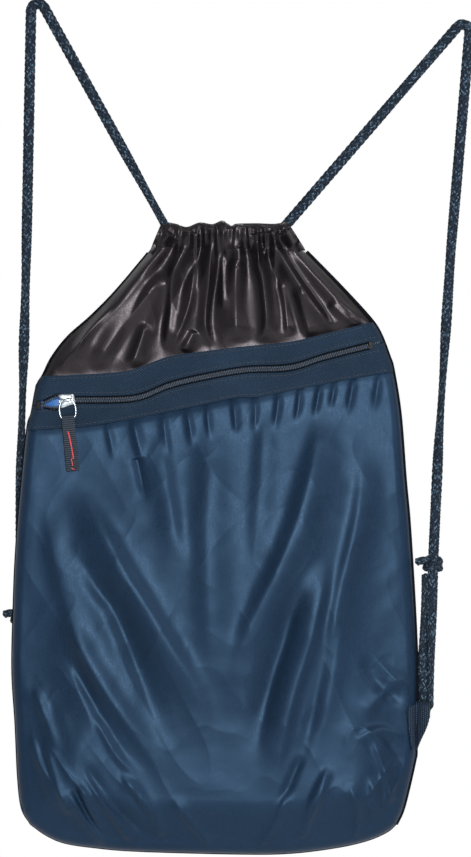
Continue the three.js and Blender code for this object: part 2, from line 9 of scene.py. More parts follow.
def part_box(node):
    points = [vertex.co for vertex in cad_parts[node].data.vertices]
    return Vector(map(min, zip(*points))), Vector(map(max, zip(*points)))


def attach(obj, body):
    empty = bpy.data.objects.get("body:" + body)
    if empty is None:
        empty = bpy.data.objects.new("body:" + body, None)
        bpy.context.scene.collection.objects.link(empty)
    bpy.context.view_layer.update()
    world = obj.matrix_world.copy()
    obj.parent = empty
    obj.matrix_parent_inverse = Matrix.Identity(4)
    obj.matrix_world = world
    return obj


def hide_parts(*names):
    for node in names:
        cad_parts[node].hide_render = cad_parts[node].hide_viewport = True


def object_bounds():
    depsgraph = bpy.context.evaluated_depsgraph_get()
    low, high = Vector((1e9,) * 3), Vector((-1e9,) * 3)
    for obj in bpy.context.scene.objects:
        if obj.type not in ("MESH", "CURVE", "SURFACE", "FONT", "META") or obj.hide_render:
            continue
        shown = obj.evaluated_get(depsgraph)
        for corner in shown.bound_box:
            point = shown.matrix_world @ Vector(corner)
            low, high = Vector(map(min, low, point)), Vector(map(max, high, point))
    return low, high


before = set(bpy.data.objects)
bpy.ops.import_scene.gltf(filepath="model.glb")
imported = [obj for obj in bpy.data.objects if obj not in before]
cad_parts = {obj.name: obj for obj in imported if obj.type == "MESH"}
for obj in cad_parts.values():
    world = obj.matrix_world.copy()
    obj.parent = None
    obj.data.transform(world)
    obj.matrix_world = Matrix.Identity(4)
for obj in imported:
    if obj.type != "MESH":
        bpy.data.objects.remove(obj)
cad_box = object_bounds()
MM = 0.001


# ---------- node helpers ----------
class Wire:
    """A socket of a node tree that can stand in sums."""

    def __init__(self, tree, socket):
        self.tree = tree
        self.socket = socket

    def _sum(self, operation, *values):
        node = self.tree.nodes.new("ShaderNodeMath")
        node.operation = operation
        for slot, value in zip(node.inputs, values):
            if isinstance(value, Wire):
                self.tree.links.new(value.socket, slot)
            else:
                slot.default_value = value
        return Wire(self.tree, node.outputs[0])

    def __add__(self, other):
        return self._sum("ADD", self, other)

    def __sub__(self, other):
        return self._sum("SUBTRACT", self, other)

    def __rsub__(self, other):
        return self._sum("SUBTRACT", other, self)

    def __mul__(self, other):
        return self._sum("MULTIPLY", self, other)

    def __truediv__(self, other):
        return self._sum("DIVIDE", self, other)

    def __pow__(self, other):
        return self._sum("POWER", self, other)

    __radd__ = __add__
    __rmul__ = __mul__

    def sin(self):
        return self._sum("SINE", self)

    def abs(self):
        return self._sum("ABSOLUTE", self)

    def floor(self):
        return self._sum("FLOOR", self)

    def fraction(self):
        return self._sum("FRACT", self)

    def over(self, level):
        return self._sum("GREATER_THAN", self, level)

    def clamped(self):
        return self._sum("MINIMUM", self._sum("MAXIMUM", self, 0.0), 1.0)


class Nodes:
    """A node tree; every node but the sums comes from add."""

    def __init__(self, tree):
        self.tree = tree

    def add(self, kind, settings=None, output=0, **inputs):
        node = self.tree.nodes.new(kind)
        for key, value in (settings or {}).items():
            setattr(node, key, value)
        self.plug(node, **inputs)
        return Wire(self.tree, node.outputs[output])

    def plug(self, node, **inputs):
        """Sets or links sockets, each given by its name or by _ and its number."""
        for key, value in inputs.items():
            slot = node.inputs[int(key[1:]) if key[0] == "_" else key.replace("_", " ")]
            if isinstance(value, Wire):
                self.tree.links.new(value.socket, slot)
            else:
                slot.default_value = value


class Finish(Nodes):
    """A material being made."""

    def __init__(self, name):
        self.material = bpy.data.materials.new(name)
        self.material.use_nodes = True
        super().__init__(self.material.node_tree)

    def place(self, kind="Object"):
        """A surface point and its three coordinates in metres; UV gives the piece's own two."""
        where = self.add("ShaderNodeTexCoord", output={"UV": 2, "Object": 3}[kind])
        split = self.add("ShaderNodeSeparateXYZ", Vector=where).socket.node
        return where, [Wire(self.tree, out) for out in split.outputs]

    def noise(self, where, scale, detail=3.0, rough=0.55, stretch=None):
        if stretch:
            where = self.add("ShaderNodeMapping", Vector=where, Scale=stretch)
        return self.add(
            "ShaderNodeTexNoise", Vector=where, Scale=scale, Detail=detail, Roughness=rough
        )

    def mix(self, share, low, high):
        return self.add(
            "ShaderNodeMix", {"data_type": "RGBA"}, output=2, _0=share, _6=low, _7=high
        )

    def bump(self, height, depth):
        return self.add("ShaderNodeBump", Height=height, Distance=depth)

    def feed(self, **inputs):
        self.plug(self.tree.nodes["Principled BSDF"], **inputs)
        return self.material


def shade(r, g, b):
    return (r, g, b, 1.0)


# ---------- camera, lights and surroundings ----------
VIEW_DISTANCE = 2.507
LENS = 135.0
FRAME_MIDDLE = (-0.0117, -0.3229)
LIGHTS_AIM = (-0.03, 0, -0.38)


def make_camera():
    data = bpy.data.cameras.new("camera")
    data.lens = LENS
    data.clip_start, data.clip_end = 0.05, 40
    camera = bpy.data.objects.new("camera", data)
    camera.location = (FRAME_MIDDLE[0], -VIEW_DISTANCE, FRAME_MIDDLE[1])
    camera.rotation_euler = (math.radians(90), 0, 0)
    bpy.context.scene.collection.objects.link(camera)
    bpy.context.scene.camera = camera


def make_light(name, place, size, power):
    """A round soft light turned to the middle of the bag."""
    data = bpy.data.lights.new(name, "AREA")
    data.shape = "DISK"
    data.size, data.energy = size, power
    light = bpy.data.objects.new(name, data)
    light.location = place
    light.rotation_euler = (Vector(LIGHTS_AIM) - Vector(place)).to_track_quat("-Z", "Y").to_euler()
    bpy.context.scene.collection.objects.link(light)


def make_surroundings():
    scene = bpy.context.scene
    scene.view_settings.view_transform = "Standard"
    scene.world = bpy.data.worlds.new("studio")
    scene.world.use_nodes = True
    # the studio's far wall is white and well lit, the near half is dimmer
    studio = Nodes(scene.world.node_tree)
    far = studio.add("ShaderNodeSeparateXYZ", output=1, Vector=studio.add("ShaderNodeTexCoord"))
    glow = studio.add(
        "ShaderNodeMapRange", Value=far, From_Min=-0.5, From_Max=0.85, To_Min=0.4, To_Max=1.0
    )
    studio.plug(studio.tree.nodes["Background"], Color=shade(1, 1, 1), Strength=glow)
    make_light("key", (0.15, -2.3, -0.05), 0.4, 62)
    make_light("side", (1.5, -0.9, 0.4), 0.7, 11)
    make_light("behind", (0.3, 1.8, 0.5), 1.0, 20)


make_camera()
make_surroundings()


# ---------- finishes ----------
def plain_weave(name, dark, light, rough, pitch, depth, blotch=14.0, spec=0.5, tint=(1, 1, 1)):
    """Tightly woven filament cloth: crossed yarns with a soft, cloudy sheen."""
    f = Finish(name)
    where, (x, _, z) = f.place()
    warp = (x * (2 * math.pi / pitch)).sin()
    weft = (z * (2 * math.pi / pitch)).sin()
    weave = warp * weft
    cloud = f.noise(where, blotch, 4.0)
    slub = f.noise(where, 900.0, 2.0, stretch=(1.0, 1.0, 0.12))
    grain = f.noise(where, 1050.0, 1.0)
    share = (cloud * 0.9 + slub * 0.4 + grain * 1.1 - 0.85 + weave * 0.08).clamped()
    rough_map = (cloud * 0.16 + slub * 0.12 + grain * 0.22 + (rough - 0.25)).clamped()
    creases = f.noise(where, 60.0, 5.0, 0.6)
    height = weave * 0.03 + slub * 0.08 + grain * 0.1 + creases * 1.2
    return f.feed(
        Base_Color=f.mix(share, dark, light),
        Roughness=rough_map,
        Specular_IOR_Level=spec,
        Specular_Tint=shade(*tint),
        Normal=f.bump(height, depth),
    )


def twill(name, dark, light, rough, pitch, depth, spec=0.25):
    """Matt twill with its slanting ribs."""
    f = Finish(name)
    where, (x, y, z) = f.place()
    rib = ((x * 0.8 + z + y * 0.5) * (2 * math.pi / pitch)).sin()
    yarn = ((x - z) * (2 * math.pi / (pitch * 0.8))).sin()
    fuzz = f.noise(where, 1300.0, 2.0)
    cloud = f.noise(where, 30.0, 3.0)
    share = (rib * 0.26 + yarn * 0.1 + fuzz * 0.9 + cloud * 0.5 - 0.4).clamped()
    return f.feed(
        Base_Color=f.mix(share, dark, light),
        Roughness=(fuzz * 0.2 + (rough - 0.1)).clamped(),
        Specular_IOR_Level=spec,
        Specular_Tint=shade(0.5, 0.75, 1.0),
        Normal=f.bump(rib * 0.3 + yarn * 0.1 + fuzz * 0.3, depth),
    )


def webbing_finish(name, pitch):
    """Thick webbing: pale yarn ends show as slanting rows of dots."""
    f = Finish(name)
    where, (x, y, z) = f.place()
    one = ((x + z + y) * (2 * math.pi / pitch)).sin()
    two = ((x - z - y) * (2 * math.pi / pitch)).sin()
    fuzz = f.noise(where, 1500.0, 2.0)
    dots = (one * two * 0.9 - 0.12).clamped()
    return f.feed(
        Base_Color=f.mix(
            (dots + fuzz * 0.12 - 0.05).clamped(), shade(0.002, 0.004, 0.009), shade(0.075, 0.12, 0.19)
        ),
        Roughness=(fuzz * 0.2 + 0.65).clamped(),
        Specular_IOR_Level=0.2,
        Specular_Tint=shade(0.6, 0.8, 1.0),
        Normal=f.bump(dots * 0.8 + fuzz * 0.2, 0.0002),
    )


STRAND = 0.0052  # a strand's run along the cord for one step round it


def braid_finish(name):
    """Dark strands over and under each other, each of three yarns, some of them pale; painted shade darkens
    the colour into the grooves between strands and yarns.
    """
    f = Finish(name)
    where, (u, v, _) = f.place("UV")
    a = u * 6.0 + v * (1 / STRAND)
    b = u * 6.0 - v * (1 / STRAND)
    under = ((a.floor() + b.floor()) * 0.5).fraction().over(0.25)
    over = 1.0 - under
    yarn = (a * 3.0) * over + (b * 3.0) * under
    run = (b * 2.0) * over + (a * 2.0) * under
    cell = f.add("ShaderNodeCombineXYZ", X=yarn.floor(), Y=run.floor() + under * 31.0)
    chance = f.add("ShaderNodeTexWhiteNoise", {"noise_dimensions": "2D"}, Vector=cell)
    crest = ((a * math.pi).sin().abs()) * over + ((b * math.pi).sin().abs()) * under
    thread = (yarn * math.pi).sin().abs()
    hair = f.noise(where, 420.0, 2.0, stretch=(6.0, 60.0, 1.0))
    # painted shade: the pale flecks and the strands' colour scale with crest * thread, so they go darker
    # into the grooves between strands and yarns
    pale = chance.over(0.73) * chance * 0.62 * crest * thread
    share = (pale + crest * thread * 0.10 + hair * 0.06 - 0.04).clamped()
    return f.feed(
        Base_Color=f.mix(share, shade(0.0016, 0.003, 0.0068), shade(0.13, 0.20, 0.28)),
        Roughness=(hair * 0.2 + 0.6).clamped(),
        Specular_IOR_Level=0.22,
        Specular_Tint=shade(0.6, 0.8, 1.0),
        Normal=f.bump(thread * 0.7 + hair * 0.3, 0.00025),
    )


def ribbed(name, pitch, axis_turn):
    """Grosgrain: crosswise ribs, their tops painted lighter as a painted highlight and the grooves between
    them darker as painted shade.
    """
    f = Finish(name)
    where, (x, _, z) = f.place()
    along = z * math.cos(axis_turn) - x * math.sin(axis_turn)
    rib = ((along * (2 * math.pi / pitch)).sin() * 0.5 + 0.5) ** 2.0
    yarn = (x * (2 * math.pi / 0.00035)).sin()
    fuzz = f.noise(where, 1500.0, 2.0)
    # painted highlight on the rib tops, broken up by fuzz, and painted shade in the grooves between ribs
    share = (rib * 0.6 * fuzz + yarn * 0.05 + fuzz * 0.1).clamped()
    return f.feed(
        Base_Color=f.mix(share, shade(0.002, 0.0028, 0.005), shade(0.10, 0.14, 0.19)),
        Roughness=(fuzz * 0.25 + 0.55).clamped(),
        Specular_IOR_Level=0.15,
        Normal=f.bump(rib * 0.5 + yarn * 0.1, 0.0003),
    )


def bright_plate(name):
    """Nickel plate with fine wear and a few dull smears."""
    f = Finish(name)
    where, _ = f.place()
    smear = f.noise(where, 240.0, 5.0)
    scratch = f.noise(where, 2200.0, 2.0, stretch=(1.0, 1.0, 0.08))
    return f.feed(
        Base_Color=f.mix(smear, shade(0.26, 0.30, 0.33), shade(0.50, 0.55, 0.60)),
        Metallic=1.0,
        Roughness=(smear * 0.10 + scratch * 0.06 + 0.26).clamped(),
        Normal=f.bump(scratch * 0.15, 0.000004),
    )


def nylon(name, colour, light, spec=0.4):
    f = Finish(name)
    where, _ = f.place()
    grain = f.noise(where, 900.0, 3.0)
    return f.feed(
        Base_Color=f.mix(grain, colour, light),
        Roughness=(grain * 0.2 + 0.3).clamped(),
        Specular_IOR_Level=spec,
        Normal=f.bump(grain, 0.00005),
    )


def thread(name, dark, light, pitch=0.0007):
    """Twisted sewing thread."""
    f = Finish(name)
    where, (x, y, z) = f.place()
    ply = ((x + z * 0.6 + y) * (2 * math.pi / pitch)).sin()
    fuzz = f.noise(where, 2400.0, 2.0)
    return f.feed(
        Base_Color=f.mix((ply * 0.3 + fuzz * 0.6 + 0.1).clamped(), dark, light),
        Roughness=(fuzz * 0.2 + 0.42).clamped(),
        Sheen_Weight=0.2,
        Normal=f.bump(ply * 0.5 + fuzz * 0.5, 0.0001),
    )


def floor_finish():
    f = Finish("pale_floor")
    where, _ = f.place()
    return f.feed(
        Base_Color=f.mix(f.noise(where, 1.5), shade(0.78, 0.78, 0.78), shade(0.84, 0.84, 0.84)),
        Roughness=0.7,
    )


SATIN = plain_weave(
    "grey_satin", shade(0.0022, 0.0016, 0.0022), shade(0.0085, 0.0068, 0.0080), 0.37, 0.0005, 0.0002,
    spec=0.32, tint=(1.0, 0.90, 0.97),
)
NAVY = plain_weave(
    "navy_cloth", shade(0.0018, 0.0060, 0.015), shade(0.0075, 0.0195, 0.042), 0.48, 0.0006, 0.0002,
    blotch=9.0, spec=0.37, tint=(0.34, 0.62, 1.0),
)
BLUE = plain_weave(
    "blue_lining", shade(0.016, 0.10, 0.34), shade(0.045, 0.19, 0.50), 0.55, 0.0006, 0.0002
)
TWILL = twill(
    "navy_twill", shade(0.0012, 0.004, 0.011), shade(0.0165, 0.034, 0.062), 0.7, 0.0019, 0.0004
)
WEBBING = webbing_finish("webbing", 0.0031)
TAPE = twill(
    "black_tape", shade(0.002, 0.0024, 0.0034), shade(0.009, 0.011, 0.015), 0.85, 0.0012, 0.0002, 0.03
)
BRAID = braid_finish("cord_braid")
RIBBON = ribbed("black_ribbon", 0.00165, math.radians(5.1))
METAL = bright_plate("bright_metal")
STOP = nylon("stop_nylon", shade(0.001, 0.0014, 0.002), shade(0.003, 0.004, 0.006), 0.06)
COIL = nylon("coil_nylon", shade(0.012, 0.017, 0.026), shade(0.06, 0.08, 0.11))
NAVY_THREAD = thread("navy_thread", shade(0.002, 0.004, 0.01), shade(0.012, 0.02, 0.04))
RED_THREAD = thread("red_thread", shade(0.35, 0.008, 0.015), shade(0.8, 0.06, 0.07))


# ---------- mesh helpers ----------
def mesh_piece(name, points, faces, material, smooth=True, uvs=None):
    data = bpy.data.meshes.new(name)
    points = np.asarray(points, dtype=np.float32).reshape(-1, 3)
    sizes = np.array([len(f) for f in faces], dtype=np.int32)
    corners = np.concatenate([np.asarray(f, dtype=np.int32) for f in faces])
    data.vertices.add(len(points))
    data.vertices.foreach_set("co", points.ravel())
    data.loops.add(len(corners))
    data.loops.foreach_set("vertex_index", corners)
    data.polygons.add(len(sizes))
    data.polygons.foreach_set("loop_start", np.cumsum(sizes, dtype=np.int32) - sizes)
    data.polygons.foreach_set("loop_total", sizes)
    data.update(calc_edges=True)
    if smooth:
        data.polygons.foreach_set("use_smooth", [True] * len(data.polygons))
    if uvs is not None:
        layer = data.uv_layers.new(name="along")
        corner = np.empty(len(data.loops), dtype=np.int32)
        data.loops.foreach_get("vertex_index", corner)
        layer.data.foreach_set("uv", np.asarray(uvs, dtype=np.float32)[corner].ravel())
    data.materials.append(material)
    piece = bpy.data.objects.new(name, data)
    bpy.context.scene.collection.objects.link(piece)
    return piece


def grid_faces(rows, columns, wrap=False, flip=False):
    """Quads over a grid of points held row by row; wrap closes each row on itself."""
    r = np.arange(rows - 1)[:, None]
    c = np.arange(columns if wrap else columns - 1)[None, :]
    c2 = (c + 1) % columns
    quads = np.stack([r * columns + c, r * columns + c2, (r + 1) * columns + c2, (r + 1) * columns + c], -1)
    quads = quads.reshape(-1, 4)
    return quads[:, ::-1] if flip else quads


def capped_faces(rings, sides):
    """Faces of a row of rings joined into a tube and closed at both ends."""
    last = (rings - 1) * sides
    ends = [tuple(range(sides))[::-1], tuple(range(last, last + sides))]
    return [tuple(q) for q in grid_faces(rings, sides, wrap=True)] + ends


def thickened(piece, depth, offset=-1.0):
    """Gives a sheet its cloth thickness; -1 puts it all behind the face."""
    modifier = piece.modifiers.new("cloth", "SOLIDIFY")
    modifier.thickness = depth
    modifier.offset = offset
    modifier.use_even_offset = False
    even = piece.modifiers.new("even_shading", "WEIGHTED_NORMAL")
    even.keep_sharp = False
    return piece


def resample(points, count):
    """Points evenly spaced along a line through the given ones."""
    points = np.asarray(points, float)
    steps = np.r_[0, np.cumsum(np.linalg.norm(np.diff(points, axis=0), axis=1))]
    at = np.linspace(0, steps[-1], count)
    return np.stack([np.interp(at, steps, points[:, k]) for k in range(points.shape[1])], -1)


def smooth_line(points, count):
    """A curve through a few points, evenly spaced."""
    p = np.asarray(points, float)
    if len(p) < 3:
        return resample(p, count)
    ends = np.vstack([2 * p[0] - p[1], p, 2 * p[-1] - p[-2]])
    fine = []
    for k in range(1, len(ends) - 2):
        a, b, c, d = ends[k - 1 : k + 3]
        t = np.linspace(0, 1, 24, endpoint=False)[:, None]
        fine.append(
            0.5 * (2 * b + (c - a) * t + (2 * a - 5 * b + 4 * c - d) * t**2 + (3 * b - a - 3 * c + d) * t**3)
        )
    return resample(np.vstack([*fine, p[-1:]]), count)


def frames_along(path, side=(0, 1, 0)):
    """Tangents and two crosswise directions that don't twist along a path."""
    tangent = np.gradient(path, axis=0)
    tangent /= np.linalg.norm(tangent, axis=1)[:, None]
    across = np.empty_like(path)
    first = np.cross(np.cross(tangent[0], side), tangent[0])
    across[0] = first / np.linalg.norm(first)
    for k in range(1, len(path)):
        step = across[k - 1] - tangent[k] * np.dot(across[k - 1], tangent[k])
        across[k] = step / np.linalg.norm(step)
    return tangent, across, np.cross(tangent, across)


def tube(name, path, radius, material, sides=10, squash=1.0, side=(0, 1, 0)):
    """A round or flattened tube along a path; radius may change along it."""
    path = np.asarray(path, float)
    radius = np.broadcast_to(radius, len(path))
    _, across, up = frames_along(path, side)
    angle = np.linspace(0, 2 * math.pi, sides, endpoint=False)
    ring = (
        across[:, None] * (np.cos(angle) * squash)[None, :, None]
        + up[:, None] * np.sin(angle)[None, :, None]
    )
    points = (path[:, None] + ring * radius[:, None, None]).reshape(-1, 3)
    return mesh_piece(name, points, capped_faces(len(path), sides), material)


SHOWN = []


def settle(piece, body="bag", nodes=()):
    """Puts a finished piece on its body, in place of the nodes it stands for."""
    SHOWN.append(piece)
    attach(piece, body)
    if nodes:
        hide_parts(*nodes)
    return piece


# ---------- the bag's outline, seen from the front (mm, x and z) ----------
LEFT_SIDE = [
    (-75.5, -180), (-104, -214), (-124.5, -235), (-142.5, -251), (-155, -267), (-162, -281),
    (-167, -290), (-171, -311), (-174.5, -324), (-180.5, -384), (-183.5, -425), (-185, -463),
    (-186, -511), (-183.5, -553), (-181.5, -595), (-178.5, -619), (-171.5, -631.5),
]
RIGHT_SIDE = [
    (38.5, -180), (49.5, -191), (72, -214), (93, -237), (101, -249), (108, -267), (111, -277),
    (116.5, -312), (120.5, -363), (123.5, -396), (127, -451), (129, -491), (129.5, -510),
    (129, -571), (128, -581.5), (119.5, -617.5), (113.5, -631.5),
]
BOTTOM = [
    (-171.5, -631.5), (-159.5, -640), (-145.5, -646), (-123.5, -649.5), (-88, -652.5),
    (-8, -654.7), (32, -654), (68, -649.5), (91.5, -644), (106.5, -637.5), (113.5, -631.5),
]
HEM_BASE = [(-75.5, -180), (-40, -181), (0, -181), (38.5, -180)]
HEM_TOP = [
    (-68.5, -162), (-58, -164), (-49.5, -166.5), (-39.5, -163), (-29.5, -164.3), (-22, -161.5),
    (-15, -165.4), (-11, -164), (4, -163.6), (18, -164), (28.5, -162.5),
]
BAND_TOP = [
    (-162, -282), (-138, -281.2), (-96, -278), (-64.5, -267.2), (-33.5, -262.5), (-8, -259.4),
    (30, -255.5), (58, -249.2), (95, -240),
]
ZIP_LINE = [
    (-168, -305), (-144, -301.5), (-135.3, -300.7), (-91, -299.4), (-63.6, -289.5), (-39.4, -283.5),
    (-4.3, -277.3), (30, -275.5), (58, -267.2), (92, -258.6), (106, -255.5),
]
BAND_FOOT = [
    (-174.3, -324.3), (-135.3, -322.2), (-105.7, -318), (-87, -314.7), (-49, -307), (-11.3, -299.1),
    (6.6, -298.4), (44, -291), (91.7, -282), (111.3, -279),
]


def line(points, count=80):
    return smooth_line(np.asarray(points, float) * MM, count)


OUTLINE = {"left": line(LEFT_SIDE, 200), "right": line(RIGHT_SIDE, 200), "bottom": line(BOTTOM, 200)}
EDGE = np.vstack([resample(OUTLINE[k], 50)[::d] for k, d in (("left", 1), ("bottom", 1), ("right", -1))])


def edge_distance(x, z):
    """How far each point is from the bag's side or bottom edge."""
    flat = np.stack([x.ravel(), z.ravel()], -1)
    found = np.empty(len(flat))
    a, b = EDGE[:-1], EDGE[1:]
    run = b - a
    size = np.maximum((run**2).sum(1), 1e-16)
    for start in range(0, len(flat), 4000):
        p = flat[start : start + 4000, None]
        t = np.clip(((p - a) * run).sum(-1) / size, 0, 1)
        found[start : start + 4000] = np.sqrt(((p - a - run * t[..., None]) ** 2).sum(-1).min(1))
    return found.reshape(x.shape)


def ease(value, start, end):
    t = np.clip((value - start) / (end - start), 0, 1)
    return t * t * (3 - 2 * t)


def height_of(points, x):
    """A line's z at each x."""
    points = np.asarray(points, float) * MM
    return np.interp(x, points[:, 0], points[:, 1])


def hills(x, z, size, seed, turn=0.0, stretch=1.0):
    """Smooth random hills about one size across, from -1 to 1."""
    lattice = np.random.default_rng(seed).uniform(-1, 1, (61, 61))
    a = (x * math.cos(turn) + z * math.sin(turn)) / size + 20.3
    b = (z * math.cos(turn) - x * math.sin(turn)) / (size * stretch) + 17.7
    i, j = np.floor(a).astype(int), np.floor(b).astype(int)
    f, g = a - i, b - j
    f, g = f * f * (3 - 2 * f), g * g * (3 - 2 * g)
    i, i2, j, j2 = i % 61, (i + 1) % 61, j % 61, (j + 1) % 61
    low = lattice[i, j] * (1 - f) + lattice[i2, j] * f
    high = lattice[i, j2] * (1 - f) + lattice[i2, j2] * f
    return low * (1 - g) + high * g


def creases(x, z, size, seed, turn=0.0, stretch=1.0):
    """Sharp-crested random creases, from 0 to 1."""
    return (1 - np.abs(hills(x, z, size, seed, turn, stretch))) ** 3


def ridge(x, z, points, rise, wide, lean, ends, crest):
    """A fold along a line (mm): rounded crest, one side steeper than the other."""
    path = line(points, 20)
    reach = 3.2 * wide * MM * (1 + abs(lean))
    low, high = path.min(0) - reach, path.max(0) + reach
    inside = (x > low[0]) & (x < high[0]) & (z > low[1]) & (z < high[1])
    whole = np.zeros(x.shape)
    x, z = x[inside], z[inside]
    near = np.full(x.shape, 9.0)
    along = np.zeros(x.shape)
    hand = np.ones(x.shape)
    for k in range(len(path) - 1):
        a, run = path[k], path[k + 1] - path[k]
        size = (run**2).sum()
        t = np.clip(((x - a[0]) * run[0] + (z - a[1]) * run[1]) / size, 0, 1)
        dx, dz = x - a[0] - run[0] * t, z - a[1] - run[1] * t
        d = np.hypot(dx, dz)
        closer = d < near
        near = np.where(closer, d, near)
        along = np.where(closer, (k + t) / (len(path) - 1), along)
        hand = np.where(closer, np.sign(run[0] * dz - run[1] * dx), hand)
    spread = wide * MM * (1 + lean * hand)
    taper = ease(along, 0, max(ends[0], 1e-3)) * ease(1 - along, 0, max(ends[1], 1e-3))
    whole[inside] = rise * MM * np.exp(-((near / spread) ** crest)) * taper
    return whole


def folds(x, z, rows, ends=(0.2, 0.2), crest=1.7, wide=1.0):
    """A whole list of folds, each with its line, rise, width and lean."""
    return sum(ridge(x, z, path, rise, w * wide, lean, ends, crest) for path, rise, w, lean in rows)


# folds of the satin yoke and the hem above it: line, rise, width, lean
YOKE_FOLDS = [
    ([(-62, -172), (-72, -186), (-96, -206), (-120, -236), (-135, -263), (-140, -280)], 6.5, 4.5, 0.35),
    ([(-66, -200), (-79, -217), (-93, -235), (-105, -251), (-124, -278)], 6.5, 8.0, -0.3),
    ([(-49, -170), (-53, -186), (-60, -203), (-62, -228), (-66, -262)], 6.0, 4.2, 0.3),
    ([(-43, -190), (-47, -223), (-54, -245), (-63, -264)], 4.0, 3.6, -0.3),
    ([(-30, -168), (-31, -186), (-32, -207), (-35, -242), (-29, -260)], 7.0, 3.6, -0.3),
    ([(-43, -246), (-52, -264)], 3.0, 3.5, 0.0),
    ([(-10, -186), (-10.5, -215), (-10.5, -228), (-11, -257)], 6.5, 7.5, 0.2),
    ([(3.5, -172), (8, -198), (10.5, -214), (12, -242), (6.5, -258)], 5.5, 4.2, 0.3),
    ([(16, -170), (21, -184), (28, -196), (44, -220), (58, -239), (64, -248)], 6.5, 4.4, -0.35),
    ([(27, -170), (36, -186), (51, -205), (72, -226), (92, -240)], 6.0, 4.4, -0.2),
    ([(35.5, -212), (40, -228), (44, -242), (49.5, -254)], 3.6, 4.2, 0.2),
    ([(-21, -184), (-22, -206), (-21, -232)], 3.2, 2.6, 0.0),
    ([(22, -205), (27, -226), (30, -252)], 3.2, 3.4, 0.2),
    ([(-80, -240), (-88, -262), (-93, -276)], 3.5, 4.0, 0.2),
    ([(-104, -222), (-122, -242), (-138, -262), (-150, -279)], 3.6, 3.4, -0.2),
    ([(60, -224), (76, -238), (88, -243)], 2.6, 3.0, 0.0),
]
# tight gathers of the drawn hem
HEM_GATHERS = [
    ([(-63, -164), (-66, -182)], 3.2, 2.8, 0.2),
    ([(-55, -165), (-57, -190)], 2.2, 1.8, -0.2),
    ([(-47, -165), (-47, -184)], 2.8, 2.2, 0.2),
    ([(-41, -163), (-42, -196)], 2.0, 1.6, 0.0),
    ([(-35.5, -164), (-35.5, -184)], 3.2, 1.9, 0.2),
    ([(-28, -163), (-28, -206)], 3.6, 1.5, -0.2),
    ([(-22.5, -163), (-21, -180), (-15, -194)], 4.2, 5.0, 0.2),
    ([(-9.5, -165), (-8.5, -198)], 3.6, 4.6, 0.0),
    ([(-8, -183), (-8, -198)], 2.4, 3.8, 0.2),
    ([(-2, -165), (0, -186)], 2.0, 1.4, 0.0),
    ([(5.5, -168), (6, -205)], 3.2, 2.0, -0.2),
    ([(11, -166), (11.5, -192)], 2.8, 1.8, 0.2),
    ([(19, -164), (18, -205)], 3.4, 2.4, 0.2),
    ([(25, -164), (33, -180), (39, -188)], 3.2, 2.4, -0.2),
]
# long soft folds of the pocket
POCKET_FOLDS = [
    ([(-138, -362), (-102, -428), (-68, -484), (-42, -529), (-30, -572)], 6.0, 11.0, -0.25),
    ([(-135, -412), (-118, -446), (-102, -470), (-65, -568)], -5.0, 8.0, 0.2),
    ([(-148, -462), (-120, -514), (-84, -566), (-62, -596)], 4.6, 7.0, 0.25),
    ([(-143, -494), (-110, -556), (-88, -592)], -2.6, 4.0, 0.0),
    ([(-121, -543), (-102, -577), (-82, -596)], 2.6, 3.8, 0.2),
    ([(-129, -580), (-110, -612), (-76, -642)], -3.2, 3.6, 0.3),
    ([(-139, -594), (-127, -620), (-114, -641)], -2.8, 3.2, -0.3),
    ([(-134, -596), (-121, -626), (-108, -643)], 2.6, 3.4, 0.3),
    ([(-97, -598), (-76, -628), (-62, -644)], -2.4, 3.2, 0.2),
    ([(-168, -520), (-158, -552), (-146, -580)], 2.2, 4.0, 0.2),
    ([(-172, -556), (-160, -592), (-147, -622)], 2.0, 3.6, -0.2),
    ([(-28, -304), (-32, -380), (-31, -460), (-24, -548)], 4.6, 12.0, 0.15),
    ([(58, -300), (48, -356), (28, -418), (-4, -488), (-17, -545)], 6.0, 10.5, 0.3),
    ([(38, -440), (26, -486), (15, -522), (0, -584)], -5.2, 7.5, -0.2),
    ([(60, -420), (48, -478), (31, -535), (14, -612)], 4.8, 7.5, -0.3),
    ([(66, -470), (50, -540), (36, -590)], -2.6, 5.0, 0.0),
    ([(90, -330), (84, -390), (70, -450), (54, -540), (40, -600)], 3.8, 8.0, 0.3),
    ([(40, -574), (30, -598), (20, -618)], -2.6, 3.4, 0.0),
    ([(62, -582), (50, -606), (42, -628)], 2.2, 3.4, 0.2),
    ([(-158, -380), (-150, -430), (-136, -480), (-122, -530)], 2.6, 8.0, 0.3),
    ([(-72, -324), (-62, -390), (-52, -440)], 2.8, 8.0, -0.2),
    ([(12, -306), (8, -370), (2, -430)], 2.4, 8.0, 0.2),
    ([(84, -500), (100, -522), (124, -540)], -2.8, 5.0, 0.3),
    ([(86, -548), (102, -528), (122, -512)], 2.8, 5.5, 0.3),
    ([(80, -566), (100, -556), (124, -566)], 2.4, 4.4, -0.3),
    ([(104, -560), (112, -576), (122, -590)], -2.2, 3.6, 0.0),
    ([(92, -590), (96, -610), (92, -632)], 2.0, 3.8, 0.2),
]
